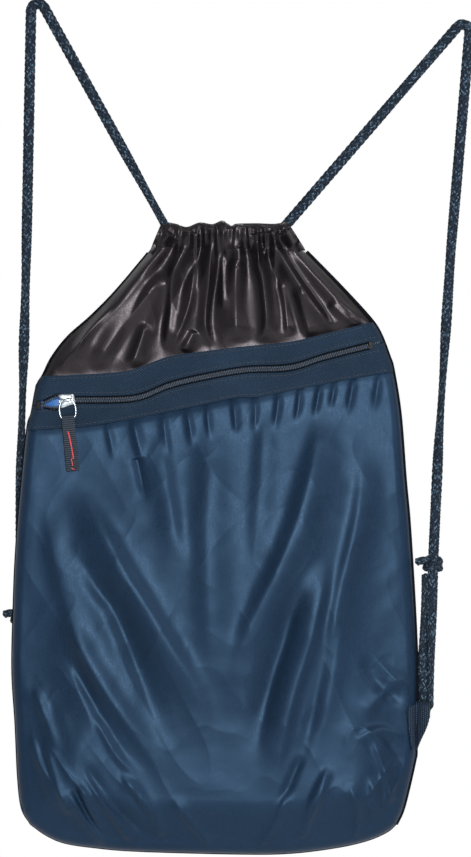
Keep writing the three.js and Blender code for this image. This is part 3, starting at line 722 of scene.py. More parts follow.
# short gathers hanging from the band
TOP_GATHERS = [
    ([(-88, -346), (-84, -366), (-80, -382)], -2.6, 3.6, 0.0),
    ([(-112, -318), (-108, -336), (-106, -350)], 1.6, 3.2, 0.2),
    ([(-92, -314), (-87, -336), (-82, -356)], 2.4, 3.8, 0.2),
    ([(-68, -310), (-66, -328), (-62, -348)], 1.8, 3.2, -0.2),
    ([(-50, -306), (-47, -322), (-45, -340)], 2.2, 3.0, 0.0),
    ([(-34, -302), (-33, -318), (-31, -334)], 1.6, 2.6, 0.2),
    ([(-14, -298), (-12, -314), (-11, -330)], 2.2, 2.8, 0.2),
    ([(4, -298), (4, -312), (3, -328)], 1.6, 2.6, -0.2),
    ([(22, -294), (21, -308), (18, -326)], 2.2, 2.8, 0.0),
    ([(38, -292), (37, -306), (34, -320)], 1.8, 2.4, 0.2),
    ([(54, -288), (52, -302), (49, -316)], 2.0, 2.4, 0.0),
    ([(66, -286), (64, -298), (62, -310)], 1.6, 2.2, -0.2),
    ([(80, -284), (78, -298), (75, -314)], 2.2, 2.8, 0.0),
    ([(100, -280), (98, -296), (95, -312)], 1.8, 2.8, 0.0),
]
# short sharp creases along the pocket's foot
FOOT_FOLDS = [
    ([(-142, -600), (-128, -626), (-112, -648)], 3.2, 4.0, -0.3),
    ([(-128, -588), (-110, -618), (-92, -646)], 3.0, 4.2, 0.3),
    ([(-102, -586), (-84, -614), (-66, -642)], 3.4, 4.5, 0.3),
    ([(-62, -606), (-46, -630), (-30, -648)], 2.2, 4.5, 0.2),
    ([(30, -600), (20, -626), (8, -648)], 2.2, 4.2, 0.2),
    ([(60, -590), (50, -616), (38, -644)], 2.4, 4.2, -0.2),
    ([(92, -556), (104, -588), (110, -616)], 2.8, 4.5, 0.2),
    ([(76, -596), (82, -618), (82, -642)], 2.2, 3.6, 0.2),
    ([(-160, -560), (-152, -592), (-140, -624)], 2.2, 3.8, 0.2),
]


EDGE_ROLL = 0.0085  # how far in from a seam the cloth turns to face forwards
WALL_OUT, NECK_OUT = 0.009, 0.0045  # how far it stands out, and how much more at the neck
FRONT_SWELL, BACK_SWELL = 0.0135, 0.006


def bag_depth(x, z, front=True):
    """How far the plain cloth stands out from the side seams' plane."""
    d = edge_distance(x, z)
    roll = np.clip(d / EDGE_ROLL, 0, 1)
    neck = ease(z, -0.25, -0.18)
    flat = (WALL_OUT + NECK_OUT * neck) * np.sqrt(1 - (1 - roll) ** 2)
    reach = 0.045 + 0.04 * ease(z, -0.60, -0.50)
    swell = ease(d, 0.002, reach) * ease(height_of(BAND_FOOT, x) - z, 0, 0.13)
    return flat + (FRONT_SWELL if front else BACK_SWELL) * swell


def yoke_depth(x, z):
    """The satin above the zip band, with its fanned gathers."""
    depth = bag_depth(x, z)
    calm = ease(edge_distance(x, z), 0, 0.012)
    fold = folds(x, z, YOKE_FOLDS, wide=1.15) + folds(x, z, HEM_GATHERS, (0.02, 0.35))
    spread = np.arctan2(x + 0.02, -(z + 0.12))
    fan = np.arcsin(0.9 * np.sin(spread * 25 + hills(x, z, 0.05, 3) * 2.2)) / 2.24 + 0.5
    fold = fold + 0.0046 * fan * (0.6 + 0.4 * hills(x, z, 0.04, 8))
    fold = fold + 0.0004 * creases(x, z, 0.016, 4, 0.3, 2.2) + 0.0006 * hills(x, z, 0.02, 5)
    near_band = ease(z - height_of(BAND_TOP, x), -0.001, 0.008)
    return depth - 0.0035 + fold * calm * (0.42 + 0.58 * near_band)


def pocket_depth(x, z):
    """The navy front pocket, slack and lightly rumpled."""
    depth = bag_depth(x, z)
    calm = ease(edge_distance(x, z), 0, 0.014)
    fold = folds(x, z, POCKET_FOLDS, (0.25, 0.42), crest=2.0, wide=1.12)
    fold = fold + folds(x, z, FOOT_FOLDS, (0.3, 0.12)) + folds(x, z, TOP_GATHERS, (0.02, 0.5))
    low = ease(z, -0.635, -0.60)
    rumple = 0.0006 * creases(x, z, 0.034, 11, 0.5, 1.8) + 0.0003 * creases(x, z, 0.021, 12, -0.6, 1.6)
    rumple = rumple + 0.0014 * hills(x, z, 0.06, 13, 0.2, 1.6) + 0.00022 * hills(x, z, 0.012, 14)
    by_tab = ease(x, 0.06, 0.10) * ease(-z, 0.49, 0.53) * ease(z, -0.60, -0.56)
    rumple = rumple + by_tab * 0.0028 * creases(x, z, 0.021, 15, 0.75, 1.8)
    left_foot = ease(-x, 0.05, 0.10) * ease(-z, 0.555, 0.60)
    rumple = rumple + left_foot * 0.0016 * creases(x, z, 0.014, 17, 0.59, 6.0) * low
    left_side = ease(-x, 0.135, 0.15) * ease(-z, 0.50, 0.53) * ease(z, -0.60, -0.56)
    rumple = rumple + left_side * 0.0012 * creases(x, z, 0.012, 18, 0.62, 5.0)
    right_foot = ease(x, 0.02, 0.05) * ease(-z, 0.575, 0.60)
    rumple = rumple + right_foot * 0.0016 * creases(x, z, 0.016, 19, -0.5, 5.0) * low
    under = ease(height_of(BAND_FOOT, x) - z, -0.004, 0.011)
    depth = depth - 0.0016 * (1 - ease(height_of(BAND_FOOT, x) - z, -0.004, 0.006))
    return depth + (fold + rumple * (0.35 + 0.65 * low)) * calm * (0.1 + 0.9 * under)


def band_depth(x, z):
    """The twill band and zip, lying over the cloth."""
    depth = bag_depth(x, z)
    wave = 0.0009 * hills(x, z, 0.035, 21) + 0.0004 * hills(x, z, 0.012, 22)
    clear = ease(np.abs(z - height_of(ZIP_LINE, x)), 0.006, 0.012)
    return depth + wave * ease(edge_distance(x, z), 0, 0.012) * (0.15 + 0.85 * clear)


def patch(top, bottom, left, right, rows, columns):
    """Points spread between four edge lines that meet at their corners."""
    top, bottom = resample(top, columns)[None], resample(bottom, columns)[None]
    left, right = resample(left, rows)[:, None], resample(right, rows)[:, None]
    u = np.linspace(0, 1, columns)[None, :, None]
    v = np.linspace(0, 1, rows)[:, None, None]
    corners = (
        (1 - u) * (1 - v) * top[:, :1] + u * (1 - v) * top[:, -1:]
        + (1 - u) * v * bottom[:, :1] + u * v * bottom[:, -1:]
    )
    return (1 - v) * top + v * bottom + (1 - u) * left + u * right - corners


def side_part(side, high, low):
    """The part of a side edge between two heights."""
    edge = OUTLINE[side]
    inside = edge[(edge[:, 1] < high) & (edge[:, 1] > low)]
    ends = [(np.interp(-z, -edge[:, 1], edge[:, 0]), z) for z in (high, low)]
    return np.vstack([ends[:1], inside, ends[1:]])


def cross_line(points, shift=0.0):
    """A line across the bag whose ends lie on its side edges."""
    path = line(points, 160)
    path[:, 1] += shift * MM
    for end, side in ((0, "left"), (-1, "right")):
        edge = OUTLINE[side]
        for _ in range(4):
            path[end, 0] = np.interp(-path[end, 1], -edge[:, 1], edge[:, 0])
    keep = (path[:, 0] >= path[0, 0]) & (path[:, 0] <= path[-1, 0])
    keep[[0, -1]] = True
    return path[keep]


def panel(name, top, bottom, rows, columns, depth, material, front=True):
    """One cloth panel between two lines across the bag."""
    left = side_part("left", top[0, 1], bottom[0, 1])
    right = side_part("right", top[-1, 1], bottom[-1, 1])
    grid = patch(top, bottom, left, right, rows, columns)
    x, z = grid[..., 0], grid[..., 1]
    y = depth(x, z) * (-1 if front else 1)
    points = np.stack([x, y, z], -1).reshape(-1, 3)
    return mesh_piece(name, points, grid_faces(rows, columns, flip=front), material)


# ---------- the cords (mm): corners of each route with the bend at each ----------
CORD = 0.006  # the cord's width across
ROUTES = {
    "left": [
        ((-53.3, -12.55, -172), 0), ((-62.5, -12.55, -172), 12), ((-170.8, 0, 23.2), 5.5),
        ((-175.1, 0, -198.7), 60), ((-180.3, 15.8, -350), 60), ((-180.3, 15.8, -482), 40),
        ((-181.1, 14.8, -541), 3.2), ((-171.5, 14.8, -541), 3.2), ((-173.9, 15.8, -489.5), 60),
        ((-173.9, 15.8, -477.8), 0),
    ],
    "right": [
        ((12.3, 12.55, -172), 0), ((20.5, 12.55, -172), 12), ((172.3, 0, 3.1), 5.5),
        ((156.4, 0, -182.3), 60), ((146.8, 0, -333.2), 60), ((142.4, 0, -428), 60),
        ((139.9, 0, -541), 3.1), ((133.6, 0, -541), 3.1), ((136.4, 0, -447.5), 60),
        ((136.6, 0, -435.8), 0),
    ],
}
KNOTS = {"left": (-180.3, 15.8, -470), "right": (142.4, 0, -428)}


def route_line(corners):
    """A cord's centre line: straight runs with an arc at every corner."""
    points = [np.array(corners[0][0], float)]
    for (before, _), (here, bend), (after, _) in zip(corners, corners[1:], corners[2:]):
        here = np.array(here, float)
        back, on = np.array(before) - here, np.array(after) - here
        room = [np.linalg.norm(back), np.linalg.norm(on)]
        back, on = back / room[0], on / room[1]
        turn = math.pi - math.acos(np.clip(back @ on, -1, 1))
        reach = min(bend * math.tan(turn / 2), 0.495 * min(room))
        bend = reach / math.tan(turn / 2)
        middle = here + (back + on) / np.linalg.norm(back + on) * bend / math.cos(turn / 2)
        start = here + back * reach
        u = (start - middle) / bend
        for a in np.linspace(0, turn, 25):
            points.append(middle + bend * (u * math.cos(a) - back * math.sin(a)))
    points.append(np.array(corners[-1][0], float))
    return np.array(points) * MM


FLAT_ON = (0, 1, 0)


def braid(name, path, twist, step=0.00065, sides=30, wide=1.34, thin=0.84, side=FLAT_ON):
    """A braided cord: two families of strands that pass over and under each other."""
    length = np.linalg.norm(np.diff(path, axis=0), axis=1).sum()
    path = resample(path, int(length / step))
    tangent, across, up = frames_along(path, side)
    if side == FLAT_ON:
        across = np.cross(tangent, side)
        across /= np.linalg.norm(across, axis=1)[:, None]
        up = np.cross(across, tangent)
    s = np.linspace(0, length, len(path))
    turn = twist(s)
    wide_way = across * np.cos(turn)[:, None] + up * np.sin(turn)[:, None]
    thin_way = up * np.cos(turn)[:, None] - across * np.sin(turn)[:, None]
    angle = np.linspace(0, 2 * math.pi, sides, endpoint=False)
    a = 6 * angle[None] / (2 * math.pi) + s[:, None] / STRAND
    b = 6 * angle[None] / (2 * math.pi) - s[:, None] / STRAND
    strand_a, strand_b = np.abs(np.sin(math.pi * a)), np.abs(np.sin(math.pi * b))
    over = (np.floor(a) + np.floor(b)) % 2 == 0
    relief = np.maximum(strand_a * np.where(over, 1, 0.5), strand_b * np.where(over, 0.5, 1))
    radius = CORD / 2 * (0.80 + 0.28 * relief)
    taper = np.clip(np.minimum(s, length - s) / 0.0012, 0.25, 1)[:, None]
    ring = (
        wide_way[:, None] * (np.cos(angle)[None] * radius * taper * wide)[..., None]
        + thin_way[:, None] * (np.sin(angle)[None] * radius * taper * thin)[..., None]
    )
    points = (path[:, None] + ring).reshape(-1, 3)
    uvs = np.stack(np.broadcast_arrays(angle[None] / (2 * math.pi), s[:, None]), -1).reshape(-1, 2)
    piece = mesh_piece(name, points, capped_faces(len(path), sides), BRAID, uvs=uvs)
    return piece, path, length


def slow_twist(hook, phase, pace):
    """The cord lies flat over its hook and turns slowly further along."""
    return lambda s: (1 - np.exp(-(((s - hook) / 0.13) ** 2))) * (
        0.9 * np.sin(s * pace + phase) + 0.5 * np.sin(s * pace * 2.3 + 1.7 * phase)
    )


def knot_line(centre, tail_way, lean):
    """A turn and a half round the standing cord, with a short tail left out."""
    points = []
    for k in range(64):
        t = k / 63
        angle = lean + 2 * math.pi * (1.62 * t)
        reach = 4.9 + 0.5 * math.sin(5 * t)
        height = -5.2 + 9.0 * t + 1.8 * math.sin(angle + 0.6)
        points.append((reach * math.cos(angle), reach * math.sin(angle), height))
    end = np.array(points[-1])
    way = np.array(tail_way, float)
    for k in range(1, 6):
        points.append(tuple(end + way * (k * 2.1) - np.array((0, 0, 0.12 * k * k))))
    return (np.array(points) + centre) * MM


def make_cord(key, twist, knot_turn, tail_way):
    path = route_line(ROUTES[key])
    cord, line_used, length = braid("braided_cord_" + key, path, twist)
    knot, _, _ = braid(
        "cord_knot_" + key, knot_line(KNOTS[key], tail_way, knot_turn), lambda s: s * 0,
        step=0.0006, sides=24, wide=1.0, thin=0.98, side=(0, 0, 1),
    )
    settle(cord, nodes=["cord_" + key])
    settle(knot, nodes=["knot_" + key])
    [tuple(p) for p in line_used[::6]] + [tuple(line_used[-1])]


make_cord("left", slow_twist(0.235, 0.3, 19), -0.28, (-0.95, -0.05, 0.15))
make_cord("right", slow_twist(0.25, 2.0, 17), -0.28, (-0.97, -0.15, 0.12))


def channel_cord(name, node, start, end):
    a, b = np.array(start, float) * MM, np.array(end, float) * MM
    piece, _, _ = braid(name, np.array([a, (a + b) / 2, b]), lambda s: s * 8, sides=20, wide=1, thin=1)
    settle(piece, nodes=[node])


# the rest of each cord, out of sight in its channel
channel_cord("channel_braid_front", "channel_cord_front", (-50, -12.55, -172), (25, -12.55, -172))
channel_cord("channel_braid_back", "channel_cord_back", (-66, 12.55, -172), (9, 12.55, -172))


# ---------- cloth panels ----------
yoke = panel(
    "satin_yoke", cross_line(HEM_BASE), cross_line(BAND_TOP, -4), 230, 420, yoke_depth, SATIN
)
thickened(yoke, 0.0006)
settle(yoke, nodes=["yoke_front"])

pocket = panel(
    "navy_pocket", cross_line(BAND_FOOT, 4), OUTLINE["bottom"], 420, 400, pocket_depth, NAVY
)
thickened(pocket, 0.0006)
settle(pocket, nodes=["pocket_panel"])


BAND_OUT = 0.0007  # how far the twill lies in front of the cloth it covers


def band(name, high, low, node, rows=44):
    piece = panel(name, high, low, rows, 420, lambda x, z: band_depth(x, z) + BAND_OUT, TWILL)
    thickened(piece, 0.0009)
    return settle(piece, nodes=[node])


def open_share(x):
    """How far the two rows of teeth stand apart: only ahead of the slider."""
    return ease(-x, 0.140, 0.150) * ease(x, -0.1635, -0.151)


def slit_gap(x):
    """Half the width of the slit: open ahead of the slider, narrow behind it."""
    shut = ease(x, -0.1665, -0.1645) * ease(-x, -0.0965, -0.0935)
    return 0.0002 + shut * (0.0029 + 0.0034 * open_share(x))


zip_high = cross_line(ZIP_LINE)
zip_high[:, 1] += slit_gap(zip_high[:, 0])
zip_low = cross_line(ZIP_LINE)
zip_low[:, 1] -= slit_gap(zip_low[:, 0])
band("twill_band_upper", cross_line(BAND_TOP), zip_high, "zip_band_upper")
band("twill_band_lower", zip_low, cross_line(BAND_FOOT), "zip_band_lower")


def back_depth(x, z):
    d = edge_distance(x, z)
    calm = ease(d, 0, 0.014)
    fold = 0.0026 * hills(x, z, 0.045, 31, 0.12, 5.0) + 0.0012 * creases(x, z, 0.03, 32, -0.1, 4.0)
    low = ease(-z, 0.5, 0.6)
    fold = fold + 0.0016 * low * creases(x, z, 0.022, 34, 0.6, 2.5)
    spread = np.arctan2(x + 0.02, -(z + 0.12))
    near_hem = ease(z, -0.36, -0.2)
    fan = (np.sin(spread * 34 + hills(x, z, 0.05, 33) * 2.0) * 0.5 + 0.5) ** 2
    return bag_depth(x, z, False) + (fold + 0.004 * fan * near_hem) * calm


back = panel("satin_back", cross_line(HEM_BASE), OUTLINE["bottom"], 330, 300, back_depth, SATIN, False)
thickened(back, 0.0006)
settle(back, nodes=["back_panel"])


def lining_depth(x, z):
    lift = ease(edge_distance(x, z), 0, 0.02)
    return np.minimum(bag_depth(x, z) - 0.0045, 0.0085) * lift + 0.0008 * hills(x, z, 0.03, 41) * lift


lining = panel(
    "blue_lining", cross_line(BAND_TOP, -9), OUTLINE["bottom"], 160, 200, lining_depth, BLUE
)
thickened(lining, 0.0005)
settle(lining, nodes=["pocket_lining"])


# ---------- the drawn hem ----------
HEM_OUTER, HEM_INNER = 0.0182, 0.0088  # the tunnel's two sides, out from the bag's middle
OVER_CORD = 0.0164  # the cloth never comes nearer the middle than this where the cord runs
BACK_LOWER = 0.0032


def hem(name, node, front):
    """A gathered tunnel of satin round the cord; the section runs from front to back."""
    columns, rows = 340, 56
    top = line(HEM_TOP, 300)
    u = np.linspace(0, 1, columns)
    x_top, high = (np.interp(u, np.linspace(0, 1, len(top)), top[:, k]) for k in (0, 1))
    if not front:
        high = high - BACK_LOWER
    x_base = (-79.0 + 121.5 * u) * MM
    v = np.linspace(0, 1, rows)[:, None]
    # a flattened loop: up the outside, over the top, down the inside
    outside = v <= 0.5
    lift = np.sin(np.where(outside, v, 1 - v) * math.pi) ** 0.8
    x = x_base[None] * (1 - lift) + x_top[None] * lift
    z = (-0.1850 - 0.0035 * hills(x_base, x_base * 0, 0.012, 55)[None]) * (1 - lift) + high[None] * lift
    y = np.where(outside, HEM_OUTER - 0.0022 * lift**6, HEM_INNER) + 0 * x
    middle = (HEM_OUTER + HEM_INNER) / 2
    y = middle + (y - middle) * np.sqrt(np.clip(1 - lift**14, 0.02, 1))
    wide = 0.8 * folds(x, z, HEM_GATHERS + YOKE_FOLDS, (0.0, 0.1))
    wide = wide + 0.0004 * np.sin(x * 1100 + 5 * hills(x, z, 0.02, 51)) * (0.5 + 0.5 * hills(x, z, 0.02, 52))
    wide = wide + 0.0016 * creases(x, z, 0.011, 53, 0.25, 2.4) + 0.0010 * creases(x, z, 0.008, 54, 1.1, 1.5)
    y = y + np.where(outside, wide - 0.0026, -0.3 * wide)
    y = np.where(outside, np.maximum(y, OVER_CORD - 0.0024 * ease(z, -0.173, -0.163)), y)
    foot = (yoke_depth if front else back_depth)(x, z) + 0.0001
    y = np.where(outside, foot + (y - foot) * ease(lift, 0.02, 0.62), y)
    points = np.stack([x, -y if front else y, z], -1).reshape(-1, 3)
    piece = mesh_piece(name, points, grid_faces(rows, columns, flip=not front), SATIN)
    thickened(piece, 0.0005)
    return settle(piece, nodes=[node])


hem("gathered_hem_front", "channel_front", True)
hem("gathered_hem_back", "channel_back", False)


# ---------- seam edges ----------
def seam(name, node, path, radius):
    path = path[path[:, 1] < -0.184]
    points = np.stack([path[:, 0], np.zeros(len(path)), path[:, 1]], -1)
    piece = tube(name, points, radius, TAPE, sides=12)
    return settle(piece, nodes=[node])


seam("seam_edge_left", "seam_binding_left", OUTLINE["left"], 0.0007)
seam("seam_edge_right", "seam_binding_right", OUTLINE["right"], 0.0016)
seam("seam_edge_bottom", "seam_binding_bottom", OUTLINE["bottom"], 0.0007)


# ---------- stitching ----------
STITCH, STITCH_GAP, THREAD_RADIUS = 0.0023, 0.0008, 0.00024


def stitches(name, path):
    """A row of lockstitches pressed a little into the cloth."""
    length = np.linalg.norm(np.diff(path, axis=0), axis=1).sum()
    count = int(length / (STITCH + STITCH_GAP))
    steps = resample(path, count * 2 + 1)
    points, faces = [], []
    one = capped_faces(5, 6)
    for k in range(count):
        a, b = steps[2 * k : 2 * k + 2]
        way = (b - a) / np.linalg.norm(b - a)
        b = a + way * STITCH
        out, sideways = np.array((0, -1, 0)), np.cross(way, (0, -1, 0))
        for t, r, dip in ((0, 0.3, 1.0), (0.2, 1.0, 0.1), (0.5, 1.15, 0.0), (0.8, 1.0, 0.1), (1, 0.3, 1.0)):
            middle = a + (b - a) * t - out * dip * THREAD_RADIUS
            for j in range(6):
                c = math.pi / 3 * j
                points.append(middle + (out * math.cos(c) + sideways * math.sin(c)) * THREAD_RADIUS * r)
        faces += [[len(points) - 30 + corner for corner in face] for face in one]
    return settle(mesh_piece(name, points, faces, NAVY_THREAD))


def on_band(path):
    y = -(band_depth(path[:, 0], path[:, 1]) + BAND_OUT + 0.00015)
    return np.stack([path[:, 0], y, path[:, 1]], -1)


for row, near, shift in (
    ("above_zip", ZIP_LINE, 5.6), ("below_zip", ZIP_LINE, -5.6),
    ("band_top", BAND_TOP, -2.2), ("band_foot", BAND_FOOT, 2.2),
):
    stitches("stitches_" + row, on_band(cross_line(near, shift)[3:-3]))


# ---------- zip ----------
LEVELS = (("upper", 1), ("lower", -1))


def tape(name, node, hand):
    """Woven zip tape under the band's edge, its inner edge under the teeth."""
    top = resample(cross_line(ZIP_LINE, 12 * hand)[4:-4], 150)
    bottom = resample(cross_line(ZIP_LINE, 0.1 * hand)[4:-4], 150)
    bottom[:, 1] += hand * 0.0042 * open_share(bottom[:, 0])
    rows = 12
    v = np.linspace(0, 1, rows)[:, None]
    x = top[None, :, 0] * (1 - v) + bottom[None, :, 0] * v
    z = top[None, :, 1] * (1 - v) + bottom[None, :, 1] * v
    y = -(band_depth(x, z) - 0.0012)
    points = np.stack([x, y, z], -1).reshape(-1, 3)
    piece = mesh_piece(name, points, grid_faces(rows, len(top), flip=hand > 0), TAPE)
    thickened(piece, 0.0006)
    return settle(piece, nodes=[node])


COIL_PITCH = 0.00132


def teeth(name, node, hand):
    """A row of coil loops; they part ahead of the slider and mesh behind it."""
    path = cross_line(ZIP_LINE)[3:-3]
    length = np.linalg.norm(np.diff(path, axis=0), axis=1).sum()
    rings, sides = 7, 8
    one = capped_faces(rings, sides)
    points, faces = [], []
    for x, z in resample(path, int(length / COIL_PITCH)):
        open_by = float(open_share(np.array(x)))
        off = hand * (0.00095 + 0.0030 * open_by)
        shift = COIL_PITCH / 2 * (hand > 0)
        y = -(band_depth(np.array([x]), np.array([z]))[0] - 0.0004)
        faces += [[len(points) + corner for corner in face] for face in one]
        for t in np.linspace(0, 1, rings):
            bend = math.sin(math.pi * t)
            centre = (x + shift, y - 0.0007 * bend, z + off + hand * 0.00125 * (t * 2 - 1) * -1)
            size = 0.00046 * (0.35 + 0.65 * bend**0.5)
            for j in range(sides):
                c = 2 * math.pi * j / sides
                points.append(
                    (centre[0] + size * math.cos(c), centre[1] + size * 0.9 * math.sin(c), centre[2])
                )
    piece = mesh_piece(name, points, faces, COIL)
    return settle(piece, nodes=[node])


def end_stop(name, node):
    low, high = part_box(node)
    bpy.ops.mesh.primitive_cube_add(size=1)
    piece = bpy.context.object
    piece.name = name
    middle = [(a + b) / 2 for a, b in zip(low, high)]
    sizes = [b - a for a, b in zip(low, high)]
    piece.data.transform(Matrix.Translation(middle) @ Matrix.Diagonal((*sizes, 1)))
    piece.data.materials.append(STOP)
    bevel = piece.modifiers.new("edges", "BEVEL")
    bevel.width, bevel.segments = 0.0005, 3
    return settle(piece, nodes=[node])


for level, hand in LEVELS:
    tape("zip_tape_%s_cloth" % level, "zip_tape_" + level, hand)
for level, hand in LEVELS:
    teeth("coil_teeth_" + level, "zip_coil_" + level, hand)
for end in ("left", "right"):
    end_stop("zip_stop_%s_clip" % end, "zip_stop_" + end)


# ---------- slider and pull ----------
SLIDER = np.array((-0.142777, 0.0, -0.300938))
ZIP_TILT = math.radians(10.24)


def tilted(points, origin, tilt):
    """Turns points made flat, in mm, into place on the slanting zip."""
    p = np.asarray(points, float) * MM
    c, s = math.cos(tilt), math.sin(tilt)
    return np.stack([p[:, 0] * c - p[:, 2] * s, p[:, 1], p[:, 0] * s + p[:, 2] * c], -1) + origin


def on_slider(points):
    return tilted(points, SLIDER, ZIP_TILT)


def plate(name, outline, near, far, bevel, steps=3):
    """A flat plate of the slider between two depths (mm), with rounded edges."""
    n = len(outline)
    points = [(x, near, z) for x, z in outline] + [(x, far, z) for x, z in outline]
    faces = [tuple(range(n)), tuple(range(n, 2 * n))[::-1]]
    faces += [(k, n + k, n + (k + 1) % n, (k + 1) % n) for k in range(n)]
    piece = mesh_piece(name, on_slider(points), faces, METAL)
    edge = piece.modifiers.new("edges", "BEVEL")
    edge.width, edge.segments, edge.limit_method = bevel * MM, steps, "ANGLE"
    edge.angle_limit = math.radians(50)
    shine = piece.modifiers.new("shine", "WEIGHTED_NORMAL")
    shine.keep_sharp = False
    return piece


def domed(name, outline, near, far, drop):
    """A plate of the slider whose front swells towards its middle (mm), closed all round."""
    rim = np.array(outline, float)
    centre = rim.mean(0)
    scales = (1.0, 1.0, 0.97, 0.9, 0.75, 0.55, 0.35, 0.15)
    falls = (1.0, 0.82, 0.62, 0.42, 0.22, 0.09, 0.02)
    points, n = [], len(rim)
    for scale, depth in zip(scales, (far, *(near + drop * fall for fall in falls))):
        points += [(x, depth, z) for x, z in centre + (rim - centre) * scale]
    points.append((centre[0], near, centre[1]))
    faces = [tuple(q) for q in grid_faces(len(scales), n, wrap=True)]
    last = (len(scales) - 1) * n
    faces += [(last + k, last + (k + 1) % n, last + n) for k in range(n)]
    faces.append(tuple(range(n))[::-1])
    return mesh_piece(name, on_slider(points), faces, METAL)


def rounded(points, radius, steps=4):
    """An outline with its corners rounded off."""
    out, n = [], len(points)
    for k in range(n):
        a, b, c = (np.array(points[(k + i) % n], float) for i in (-1, 0, 1))
        r = min(radius, 0.45 * np.linalg.norm(a - b), 0.45 * np.linalg.norm(c - b))
        p, q = b + (a - b) / np.linalg.norm(a - b) * r, b + (c - b) / np.linalg.norm(c - b) * r
        for i in range(steps + 1):
            t = i / steps
            out.append(tuple((1 - t) ** 2 * p + 2 * t * (1 - t) * b + t**2 * q))
    return out


def make_slider():
    """Y-shaped slider: two plates joined by a post, rails turned in, a pressed face."""
    half = [(-6.3, 5.0), (-3.4, 5.4), (1.5, 4.3), (6.2, 4.0)]
    outline = rounded(half + [(x, -z) for x, z in half[::-1]] + [(-4.6, 0)], 1.3)
    parts = [
        domed("slider_front", outline, -11.5, -10.0, 0.9),
        plate("slider_back", outline, -6.6, -5.5, 0.3),
    ]
    edge = [(-2.6, 5.1), (1.6, 4.3), (6.0, 4.0), (6.0, 3.2), (1.6, 3.5), (-2.6, 4.3)]
    for level, hand in LEVELS:
        rail = rounded([(x, z * hand) for x, z in edge], 0.3, 2)
        parts.append(plate("slider_rail_" + level, rail, -10.6, -9.3, 0.2, 2))
    post = rounded([(-6.1, 0.9), (-2.6, 0.35), (-2.6, -0.35), (-6.1, -0.9)], 0.3, 2)
    parts.append(plate("slider_post", post, -10.6, -6.2, 0.15, 2))
    # raised diamond and shoulder pressed into the front plate
    diamond = rounded([(-5.4, 0), (-3.0, 2.3), (-0.8, 0), (-3.0, -2.3)], 0.4)
    shoulder = rounded([(3.2, 3.1), (5.7, 2.8), (5.7, -2.8), (3.2, -3.1)], 0.6)
    parts.append(domed("slider_boss", diamond, -12.1, -10.8, 0.7))
    parts.append(domed("slider_step", shoulder, -11.9, -10.8, 0.8))
    for part in parts:
        settle(part, "slider")
    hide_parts("slider_body")


def make_bail():
    """The bridge on the slider's face that holds the pull."""
    rise = [(0.2 * (1 - math.cos(t)) - 2.4, -11.2 - 2.3 * math.sin(t), 0) for t in np.linspace(0.1, 1.5, 8)]
    fall = [(2.5 + 0.2 * math.sin(t), 2.3 * (1 - math.cos(t)) - 13.5, 0) for t in np.linspace(0.2, 1.5, 8)]
    top = [(-2.0, -13.6, 0), (0.2, -13.9, 0), (2.3, -13.6, 0)]
    arch = smooth_line([(-2.4, -11.2, 0), *rise, *top, *fall, (2.7, -11.2, 0)], 60)
    bail = tube(
        "slider_bridge", on_slider(arch), 0.00075, METAL, 14, squash=1.65, side=(0, 0, 1)
    )
    settle(bail, "slider", ["slider_bail"])


make_slider()
make_bail()
PULL_TILT = math.radians(5.1)
RIBBON_TOP = np.array((-0.141693, -0.01235, -0.314198))


RIBBON_LONG, RIBBON_WIDE = 41.5, 10.0


def on_ribbon(points):
    return tilted(points, RIBBON_TOP, PULL_TILT)


def make_stirrup():
    """The wire ring through the bail: round at its head, squarer at its foot."""
    low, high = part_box("pull_ring")
    points = []
    for a in np.linspace(0, 2 * math.pi, 72, endpoint=False):
        c, s = math.cos(a), math.sin(a)
        x = math.copysign(abs(c) ** (0.62 if s > 0 else 0.34), c) * (6.3 - 1.3 * max(s, 0))
        z = math.copysign(abs(s) ** (0.9 if s > 0 else 0.5), s) * 7.5
        points.append((x, 0, z))
    points = tilted([*points, points[0]], (np.array(low) + high) / 2, PULL_TILT)
    piece = wire_ring("wire_stirrup", resample(points, 121)[:-1], 0.00066, METAL)
    settle(piece, "pull", ["pull_ring"])


def ribbon_line(t):
    """The ribbon's depth and height: up the front, over the stirrup's foot, down behind."""
    if t < 0.46:
        share = t / 0.46
        return -1.05 - 0.25 * math.sin(math.pi * share), (RIBBON_LONG + 0.2) * share - RIBBON_LONG
    if t < 0.54:
        a = math.pi * (t - 0.46) / 0.08
        return -1.05 * math.cos(a), 0.2 + 1.15 * math.sin(a)
    share = (t - 0.54) / 0.46
    return 1.05 - 0.5 * math.sin(math.pi * share), 0.2 - (RIBBON_LONG - 0.6) * share


def make_ribbon():
    """Grosgrain folded round the stirrup's foot, its ribs standing proud on both sides."""
    rows, columns = 420, 14
    v = np.linspace(0, 1, rows)
    path = np.array([ribbon_line(t) for t in v])
    y, z = path[:, 0:1], path[:, 1:2]
    u = np.linspace(-0.5, 0.5, columns)[None]
    run = np.r_[0, np.cumsum(np.hypot(*np.diff(path, axis=0).T))]
    rib = 0.13 * np.sin(2 * math.pi * run / 1.62)[:, None] * (1 - (2 * np.abs(u)) ** 12)
    cup = 0.5 * (u * 2) ** 2 * np.clip(-z / RIBBON_LONG, 0, 1) * 0.6
    waist = RIBBON_WIDE * (1 - 0.05 * np.exp(-((z / 3) ** 2)))
    hand = np.where(v[:, None] < 0.5, -1, 1)
    flat = np.stack([u * waist, y + hand * rib + cup, z + 0 * u - 0.05 * rib], -1).reshape(-1, 3)
    piece = mesh_piece("grosgrain_ribbon", on_ribbon(flat), grid_faces(rows, columns), RIBBON)
    thickened(piece, 0.00055, 0.0)
    settle(piece, "ribbon", ["pull_ribbon"])


